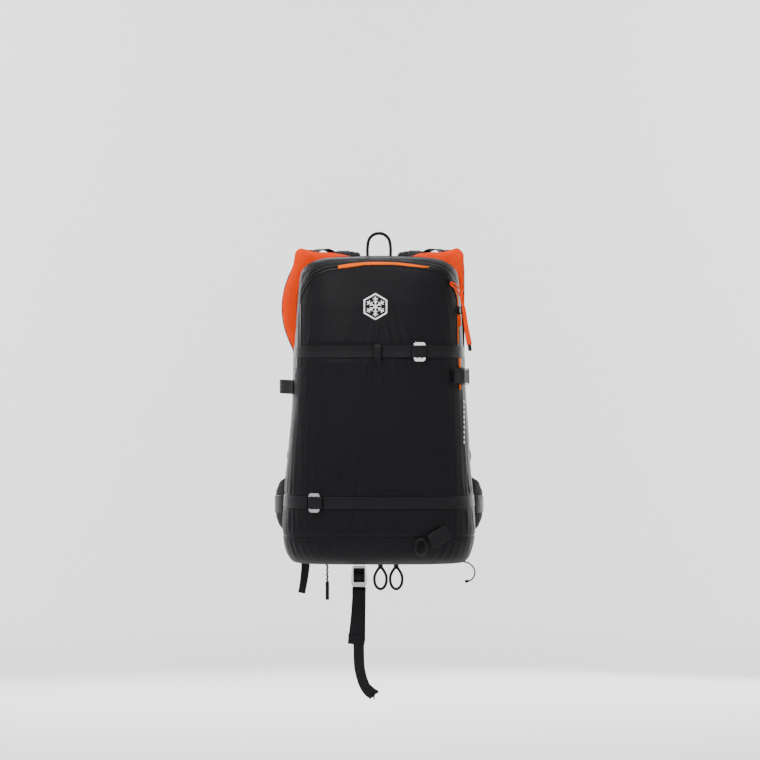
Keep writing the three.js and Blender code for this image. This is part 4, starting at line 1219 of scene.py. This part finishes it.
def make_back_wall():
    """Fabric behind the bag: one layer on it, one over the frame sheet and wire, bound at the edge."""
    grid = back_grid()
    rows, columns = grid.shape[:2]
    x, z = grid[:, :, 0], grid[:, :, 2]
    down, along = np.arange(rows)[:, None] + 0 * x, np.arange(columns)[None, :] + 0 * x
    edge = np.minimum.reduce([down, rows - 1 - down, along, columns - 1 - along])
    over_sheet = (1 / (1 + np.exp((np.abs(x) - 113) / 2.2))) * (1 / (1 + np.exp((np.abs(z - 265) - 222) / 2.6)))
    soft = 0.35 * np.sin(x / 21 + 1.3 * np.sin(z / 37)) * np.sin(z / 29) * (edge > 1)
    back = 2.9 + 6.2 * over_sheet + soft * (1 + over_sheet)
    wire = np.maximum(groove(np.abs(x) - 88, 5) * (z > 150) * (z < 455), groove(z - 452, 5) * (np.abs(x) < 88))
    back = np.maximum(back, 9.7 * wire * (over_sheet > 0.5))
    back = np.where(edge == 0, 1.5, back)
    front = np.where(edge == 0, 1.1, 0.2)
    count = rows * columns
    layers = [np.column_stack([x.ravel(), y.ravel(), z.ravel()]) for y in (front, back)]
    points = np.vstack(layers) / 1000 - FRAME_ORIGIN / 1000
    faces = []
    for a, b, c, d in grid_faces(rows, columns).values():
        faces += [(a, b, c, d), tuple(count + k for k in (a, d, c, b))]
    border = (list(range(columns)) + [r * columns + columns - 1 for r in range(1, rows)]
              + [(rows - 1) * columns + c for c in range(columns - 2, -1, -1)]
              + [r * columns for r in range(rows - 2, 0, -1)])
    for a, b in zip(border, border[1:] + border[:1]):
        faces.append((b, a, count + a, count + b))
    uv = np.column_stack([np.tile(x.ravel(), 2), np.tile(z.ravel(), 2)]) / 1000
    wall = piece("back_fabric", points, faces, SHELL, uv)
    wear(wall, "pack", ["back_wall"])
    ring = grid.reshape(-1, 3)[border] + np.array([0, 1.2, 0])
    edge_tape("back_binding", relax(even(np.vstack([ring, ring[:1]]), 421)[:-1], 2), 4.4, 3.4)


def make_sleeve():
    """The bright pocket for the shovel, inside the front."""
    columns, rows = 41, 51
    points, uv = [], []
    for v in np.linspace(-1, 1, rows):
        for u in np.linspace(-1, 1, columns):
            corner = max(0, abs(u) * 112 - 92), max(0, abs(v) * 138 - 118)
            pull = max(0, math.hypot(*corner) - 20)
            x = u * (112 - pull * (corner[0] > 0))
            z = v * (138 - pull * (corner[1] > 0))
            y = -150.6 + 0.7 * math.cos(u * 1.5) * math.cos(v * 1.4) + 0.3 * math.sin(7 * v + 2 * u)
            points.append(place(x, y, 192 + z))
            uv.append((x / 1000, z / 1000))
    sleeve = piece("shovel_pocket", points, list(grid_faces(rows, columns).values()), ORANGE, uv)
    modifier(sleeve, "SOLIDIFY", thickness=FABRIC_THICKNESS, offset=0)
    apply_modifiers(sleeve)
    wear(sleeve, "pack", ["shovel_sleeve"])


# ---- cords, loops and pulls --------------------------------------------------------------------------------

CABLE = [(-108, -20, 318), (-111, -8, 318), (-113, 4, 318), (-115, 11, 328), (-116, 13, 360), (-114, 13, 400),
         (-110, 13, 440), (-100, 15, 464), (-92, 24, 486), (-93, 42, 517), (-96, 62, 531), (-98, 84, 531),
         (-99, 102, 520), (-97, 116, 506), (-92, 125, 495), (-84, 130, 487), (-78, 131, 478)]
CORD_LOOP = [(142, -40, -2), (148, -40, -2.4), (154, -40, -4), (159.5, -40, -8), (163.5, -40, -13.8),
             (165, -40, -19), (164.4, -40, -25), (161.5, -40, -30.6), (157.5, -40, -34), (152, -40, -35.4)]


def free_cord(name, points, diameter, body, material, replaced=(),
              count=60):
    """A cord along the given points."""
    line = smooth_line(places(points), count)
    made = round_tube(name, line, diameter / 2000, material)
    wear(made, body, replaced)
    return made


def make_leg_strap():
    """The strap below the bag. Its webbing goes behind the hook's top bar and behind its low bar."""
    x = LEG_STRAP_X

    def upright(name, route, body, width, thickness, count=30):
        made = strap(name, places([(x + dx, y, z) for dx, y, z in route]), (1, 0, 0), width, thickness,
                     count=count)
        return wear(made, body)

    upright("leg_hook_anchor", [(0, -30, 3), (0, -30, -3), (0, -29.8, -8.0)], "pack", 21, 1.7, 12)
    upright("leg_hook_webbing", [(0, -28.2, -10.4), (0, -27.4, -12.5), (0, -27.2, -16), (0, -28.6, -19),
                                 (0, -30.4, -22.5),
                                 (0, -30.8, -28), (0, -30.2, -32), (0, -28.4, -35.4), (0, -27.2, -38.5),
                                 (0, -27.4, -43), (0, -29.4, -47.2)], "leg_hook", 20.6, 1.4, 70)
    route = [(0, -46.9), (-0.4, -80), (-0.6, -112), (-0.6, -143), (-0.4, -164), (0.6, -184), (4, -201),
             (9, -215), (16, -226), (25, -233)]
    line = smooth_line(places([(x + dx, -30, z) for dx, z in route]), 90)
    share = np.linspace(0, 1, 90)
    widths = np.interp(share, [0, 0.47, 0.52, 1], [1.28, 1.22, 1, 0.97])
    single = sweep("leg_strap_webbing", line, (1, 0, 0), strap_section(0.0185, 0.0017), WEBBING_BLACK,
                   scale=np.column_stack([widths, np.ones(90)]))
    wear(single, "leg_strap", ["leg_strap"])
    upright("leg_strap_return", [(-0.2, -32, -49), (-1.6, -32.2, -75), (-4, -32.4, -105), (-8, -32.6, -138),
                                 (-8.8, -33.2, -145)], "leg_strap", 22, 1.6)
    upright("leg_strap_band", [(-6.8, -33.7, -128), (-7.2, -33.9, -131), (-7.6, -34.1, -134)], "leg_strap", 23,
            0.9, 8)
    end = [(x + 25, -30.4, -233), (x + 27.5, -32, -231.6), (x + 22, -32.6, -228), (x + 14, -32.2, -221)]
    wear(strap("leg_strap_end", places(end), (0.62, 0, 0.78), 17, 1.4, count=24), "leg_strap")


def make_axe_loops():
    """Two drop-shaped loops of cord side by side."""
    half = [(0, -7.4), (2.2, -11), (6, -16.5), (9.6, -24), (10.4, -32), (8.8, -40), (4.8, -45.6)]
    outline = half + [(0, -47.6)] + [(-x, z) for x, z in half[:0:-1]]
    for side, centre in (("left", 2.5), ("right", 29.5)):
        points = [(centre + x, -60, z) for x, z in outline]
        closed = smooth_line(places(points + points[:1]), 91)[:-1]
        made = sweep(f"axe_loop_cord_{side}", closed, (0, 1, 0), round_section(0.0024, 12), CORD, closed=True)
        wear(made, f"axe_loop_{side}", [f"axe_loop_{side}"])
        collar = [(centre, -60, -5), (centre, -60, -9), (centre, -60, -13)]
        wear(tube(f"axe_loop_collar_{side}", places(collar), 4.2, BINDING, 12), f"axe_loop_{side}")


def make_hanging_pieces():
    """A webbing tail, a twisted cord pull and an elastic loop under the bag."""
    tail = [(-126.5, -40, -2.4), (-127.2, -40, -16), (-130, -40, -38), (-133.3, -40, -56)]
    taper = np.column_stack([np.linspace(1, 0.82, 48), np.ones(48)])
    wear(strap("webbing_tail_strap", places(tail), (1, 0, 0), 14.8, 1.7, scale=taper), "webbing_tail",
         ["webbing_tail"])

    x, y = -88.4, -75
    tip = tube("cord_pull_tip", places([(x, y, -34), (x, y, -38), (x, y, -60), (x, y, -65)]), 3.2, PLASTIC,
               count=20, sides=14)
    modifier(tip, "BEVEL", width=0.001, segments=2, limit_method="ANGLE")
    wear(tip, "cord_pull")
    free_cord("cord_pull_cord", [(x, y, z) for z in np.linspace(-2, -36, 16)], 2.4, "cord_pull", CORD,
              ["cord_pull"])
    twist = [(x + 1.7 * math.cos(26 * t), y + 1.7 * math.sin(26 * t), -2 - 33 * t) for t in np.linspace(0, 1,
                                                                                                        80)]
    wear(tube("cord_pull_twist", places(twist), 1.0, THREAD, 160, 8), "cord_pull")
    free_cord("elastic_loop", CORD_LOOP, 2.5, "pack", CORD, ["cord_loop"])
    knot = tube("elastic_loop_knot", places([(154, -40, -35), (151, -40, -35.8), (148, -40, -35.8)]), 2.6, CORD,
                12)
    wear(knot, "pack")


def make_pulls():
    """The sliders on the flap's zip, and the cords and tab that hang from the upper one."""
    for name, (x, z), turn in (("main_slider", (120, 477), -0.75), ("side_slider", (134, 428), 0.0)):
        spot, normal = touch(SKIN, [place(x, float(front_y(x, z)), z)])
        up, out = Vector((math.sin(turn), 0, math.cos(turn))), Vector(normal[0])
        across = out.cross(up).normalized()
        up = across.cross(out).normalized()
        turned = Matrix((across, out, up)).transposed().to_4x4()
        profile = [(-4.2, -6), (4.2, -6), (4.8, -2), (3.6, 2), (4.6, 6.5), (1.5, 8), (-1.5, 8), (-4.6, 6.5),
                   (-3.6, 2), (-4.8, -2)]
        rows = [[(a * s / 1000, d / 1000, b * s / 1000) for a, b in profile] for d, s in
                ((0.4, 0.9), (1.2, 1), (3.2, 1), (4.2, 0.86))]
        body = lofted(name + "_body", rows, PLASTIC)
        arch = ((3.6, -5), (6.2, -4.4), (7.2, 0), (6.2, 4.4), (3.6, 5.4))
        bridge = sweep(name + "_bridge", np.array([(0, y / 1000, b / 1000) for y, b in arch]), (1, 0, 0),
                       round_section(0.0011, 8), PLASTIC)
        for part in (body, bridge):
            part.data.transform(Matrix.Translation(Vector(spot[0])) @ turned)
        wear(joined(name + "_metal", [body, bridge]), name, [name])

    widths = np.column_stack([np.linspace(0.66, 1, 40), np.ones(40)])
    tab = strap("pull_tab", places([(142.6, -139, 434), (144, -139, 425), (147, -138, 402), (150.6, -136, 382),
                                    (152.6, -135, 371)]), (0.95, 0.25, 0), 9.6, 3.2, ORANGE_CORD, 40, widths)
    tip = strap("pull_tab_tip", places([(152.2, -135.2, 373), (153.2, -134.7, 366), (154, -134.3, 360)]),
                (0.95, 0.25, 0), 6.4, 2.6, PLASTIC, 14)
    wear(tab, "main_slider")
    wear(tip, "main_slider")
    routes = {
        "pull_cord_outer": [(120, -142.5, 475), (124, -144, 474.5), (129, -144.5, 472), (134, -144, 467),
                            (138.5, -143, 461), (141.3, -142, 453), (142.2, -141, 444), (143.2, -140, 436),
                            (144.2, -139.5, 428), (145.2, -139, 417)],
        "pull_cord_inner": [(120, -140.5, 473), (123, -142, 470), (127, -142.8, 467), (131.5, -142.5, 462),
                            (135.5, -141.8, 456), (137.8, -141, 449), (139.8, -140.4, 441),
                            (141.6, -139.8, 434), (142.6, -139.2, 427), (144, -138.7, 416)],
    }
    for name, points in routes.items():
        free_cord(name, points, 2.8, "main_slider", ORANGE_CORD)
    wrap = tube("pull_cord_wrap", places([(138.2, -143.2, 458.5), (139.2, -142.8, 455),
                                          (140.2, -142.2, 451.5)]), 3.1,
                ORANGE_CORD, 12)
    wear(wrap, "main_slider")
    short = strap("side_pull", places([(134, -120, 430), (135.5, -122, 424), (136.5, -123, 414),
                                       (137, -123, 402)]),
                  (0.9, 0.4, 0), 4.2, 2.4, ORANGE_CORD, 20)
    wear(short, "side_slider")


def make_release():
    """The sheathed release cable over the left shoulder, with small keepers on the strap, and the bare wire at
    its end.
    """
    free_cord("release_sheath", CABLE, 5.0, "pack", CORD, ["release_cable"],
              count=140)
    line = smooth_line(places(CABLE), 140)
    wire = round_tube("release_wire", line[-16:], 0.0009, ALUMINIUM, 8)
    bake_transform(wire)
    along = tangents(line)
    for number, index in enumerate((48, 66, 88, 104)):
        across = unit(np.cross(along[index], (1, 0, 0)))
        aside = np.cross(along[index], across)
        ring_line = line[index] + np.array([3.4e-3 * (math.cos(a) * across + math.sin(a) * aside)
                                            for a in full_turn(16)])
        made = sweep(f"cable_keeper_{number}", ring_line, tuple(along[index]), strap_section(0.009, 0.0011),
                     WEBBING_BLACK, closed=True)
        wear(made, "pack")


def make_haul_loop():
    side = [(20, 6, 526), (20, 6, 542), (17, 6, 556), (9, 6, 564)]
    points = side + [(0, 6, 566)] + mirrored(side[::-1])
    made = strap("haul_loop_webbing", places(points), (0, 1, 0), 10, 4.6, count=70)
    wear(made, "haul_loop", ["haul_loop"])


def make_small_loops():
    """The ski tail loop and the round loop at the lower front."""
    slant = 0.49
    slope = math.atan2(float(front_y(103, 50) - front_y(99, 50)), 4)
    centre = Vector((101, float(front_y(101, 75)) - 3.4, 50))
    ahead = Vector((math.cos(slant) * math.cos(slope), math.cos(slant) * math.sin(slope), math.sin(slant)))
    up = Vector((-math.sin(slant) * math.cos(slope), -math.sin(slant) * math.sin(slope), math.cos(slant)))
    line = np.array(places([centre + ahead * float(share * 19) for share in np.linspace(-1, 1, 15)]))
    taper = np.column_stack([1 - 0.25 * np.abs(np.linspace(-1, 1, 15)) ** 8, np.ones(15)])
    made = sweep("ski_tail_loop", line, tuple(up), strap_section(0.025, 0.0034), WEBBING_BLACK, scale=taper)
    wear(made, "ski_loop", ["ski_loop"])
    radius, y = 9.2, float(front_y(70, 48)) - 3.4
    oval = np.array(places([(70 + radius * math.cos(a), y,
                             33 + 1.4 * radius * math.sin(a)) for a in full_turn(60)]))
    cord = sweep("ring_loop_cord", oval, (0, 1, 0), round_section(0.0024, 12), CORD, closed=True)
    wear(cord, "ring_loop", ["ring_loop"])


def make_sternum():
    """The chest strap: webbing on both sides of its buckle, and the slider on the left strap's rail."""
    y, z = 133, 375
    left = strap("sternum_webbing_left", places([(x, y, z) for x in (-70, -55, -40, -22.5)]), (0, 0, 1), 20)
    wear(left, "sternum", ["sternum_strap_left"])
    right = strap("sternum_webbing_right", places([(x, y + 0.4, z) for x in (17.5, 40, 66, 92)]), (0, 0, 1), 20)
    wear(right, "sternum_plug", ["sternum_strap_right"])
    block = strap("sternum_slider_left", places([(-70.5, y - 3, z), (-64, y - 3, z), (-57.5, y - 3, z)]),
                  (0, 0, 1), 26, 4, PLASTIC, 8)
    wear(block, "sternum")


# ---- hard parts carried over from the CAD ------------------------------------------------------------------

HARD = {
    "upper_hook": (ALUMINIUM, 0.7), "lower_hook": (ALUMINIUM, 0.7), "leg_hook": (ALUMINIUM, 0.8),
    "inflator": (ALUMINIUM, 0.6), "frame_wire": (ALUMINIUM, 0.2), "frame_sheet": (SHEET, 0.4),
    "strap_adjuster_left": (PLASTIC, 0.8), "strap_adjuster_right": (PLASTIC, 0.8), "hip_socket": (PLASTIC, 1.5),
    "hip_plug": (PLASTIC, 0.8), "sternum_socket": (PLASTIC, 1.2), "sternum_plug": (PLASTIC, 0.6),
    "sternum_slider_right": (PLASTIC, 0.8), "trigger_handle": (ORANGE_PLASTIC, 1.2),
}


def finish_hard_parts():
    for name, (material, round_edge) in HARD.items():
        node = NODES[name]
        dress(node, material)
        modifier(node, "WELD", merge_threshold=0.00001)
        modifier(node, "BEVEL", width=round_edge / 1000, segments=3, limit_method="ANGLE",
                 angle_limit=math.radians(35), harden_normals=False)
        modifier(node, "WEIGHTED_NORMAL", keep_sharp=True)


make_zip()
make_piping()
make_bag_straps()
make_side_webbing()
make_seam_lines()
make_emblem()
make_side_marks()
make_airbag()
make_cover_seam()
make_back_wall()
make_sleeve()
make_back_pads()
for SIDE, FLIP in (("left", -1), ("right", 1)):
    make_shoulder_strap(SIDE, FLIP)
    make_hip_wing(SIDE, FLIP)
make_release()
make_haul_loop()
make_sternum()
make_small_loops()
make_leg_strap()
make_axe_loops()
make_hanging_pieces()
make_pulls()
finish_hard_parts()


# ---- the stage ---------------------------------------------------------------------------------------------

def stage():
    """A pale floor that curves up far behind, soft lamps, and the camera straight in front of the bag."""
    low, far, bend = -0.92, 8.0, 2.0
    profile = [(-9.0, low), (far - bend, low)]
    profile += [(far - bend + bend * math.sin(a), low + bend * (1 - math.cos(a)))
                for a in np.linspace(0.1, math.pi / 2, 14)]
    profile += [(far, 9.0)]
    points = [(x, y, z) for y, z in profile for x in (-14.0, 14.0)]
    faces = [(2 * i, 2 * i + 1, 2 * i + 3, 2 * i + 2) for i in range(len(profile) - 1)]
    floor = finish_of("floor", (0.86, 0.86, 0.87), 0.9, depth=0.0001, speckle=0.01)
    piece("floor", points, faces, floor)
    middle = (0, 0, 0)
    lamps = (("key_lamp", (-1.7, -2.8, 2.9), middle, 1.6, 160), ("fill_lamp", (2.4, -3.4, 0.8), middle, 2.4,
                                                                 34),
             ("top_lamp", (0.2, -0.4, 3.0), middle, 1.6, 40), ("rear_lamp", (-0.9, 3.6, 0.7), middle, 1.8, 75),
             ("rear_fill", (1.3, 3.6, 0.3), middle, 2.0, 45), ("left_lamp", (-3.4, 0.3, 1.2), middle, 1.8, 20),
             ("right_lamp", (3.4, 0.3, 1.2), middle, 1.8, 20),
             ("backdrop_left", (-4.5, 4.6, 2.6), (-0.8, 8, 0.8), 2.0, 380),
             ("backdrop_right", (4.5, 4.6, 2.6), (0.8, 8, 0.8), 2.0, 380))
    for name, location, target, size, power in lamps:
        lamp = bpy.data.lights.new(name, "AREA")
        lamp.size = size
        lamp.energy = power
        held = bpy.data.objects.new(name, lamp)
        held.location = location
        held.rotation_euler = (Vector(target) - Vector(location)).to_track_quat("-Z", "Y").to_euler()
        held.visible_camera = False
        bpy.context.scene.collection.objects.link(held)
    world = bpy.data.worlds.new("studio")
    world.use_nodes = True
    world.node_tree.nodes["Background"].inputs["Color"].default_value = (0.93, 0.92, 0.97, 1)
    world.node_tree.nodes["Background"].inputs["Strength"].default_value = 0.5
    bpy.context.scene.world = world
    camera = bpy.data.cameras.new("camera")
    camera.lens = 130.6
    held = bpy.data.objects.new("camera", camera)
    held.location = (0.0017, -4.817, 0)
    held.rotation_euler = (math.pi / 2, 0, 0)
    bpy.context.scene.collection.objects.link(held)
    bpy.context.scene.camera = held


stage()
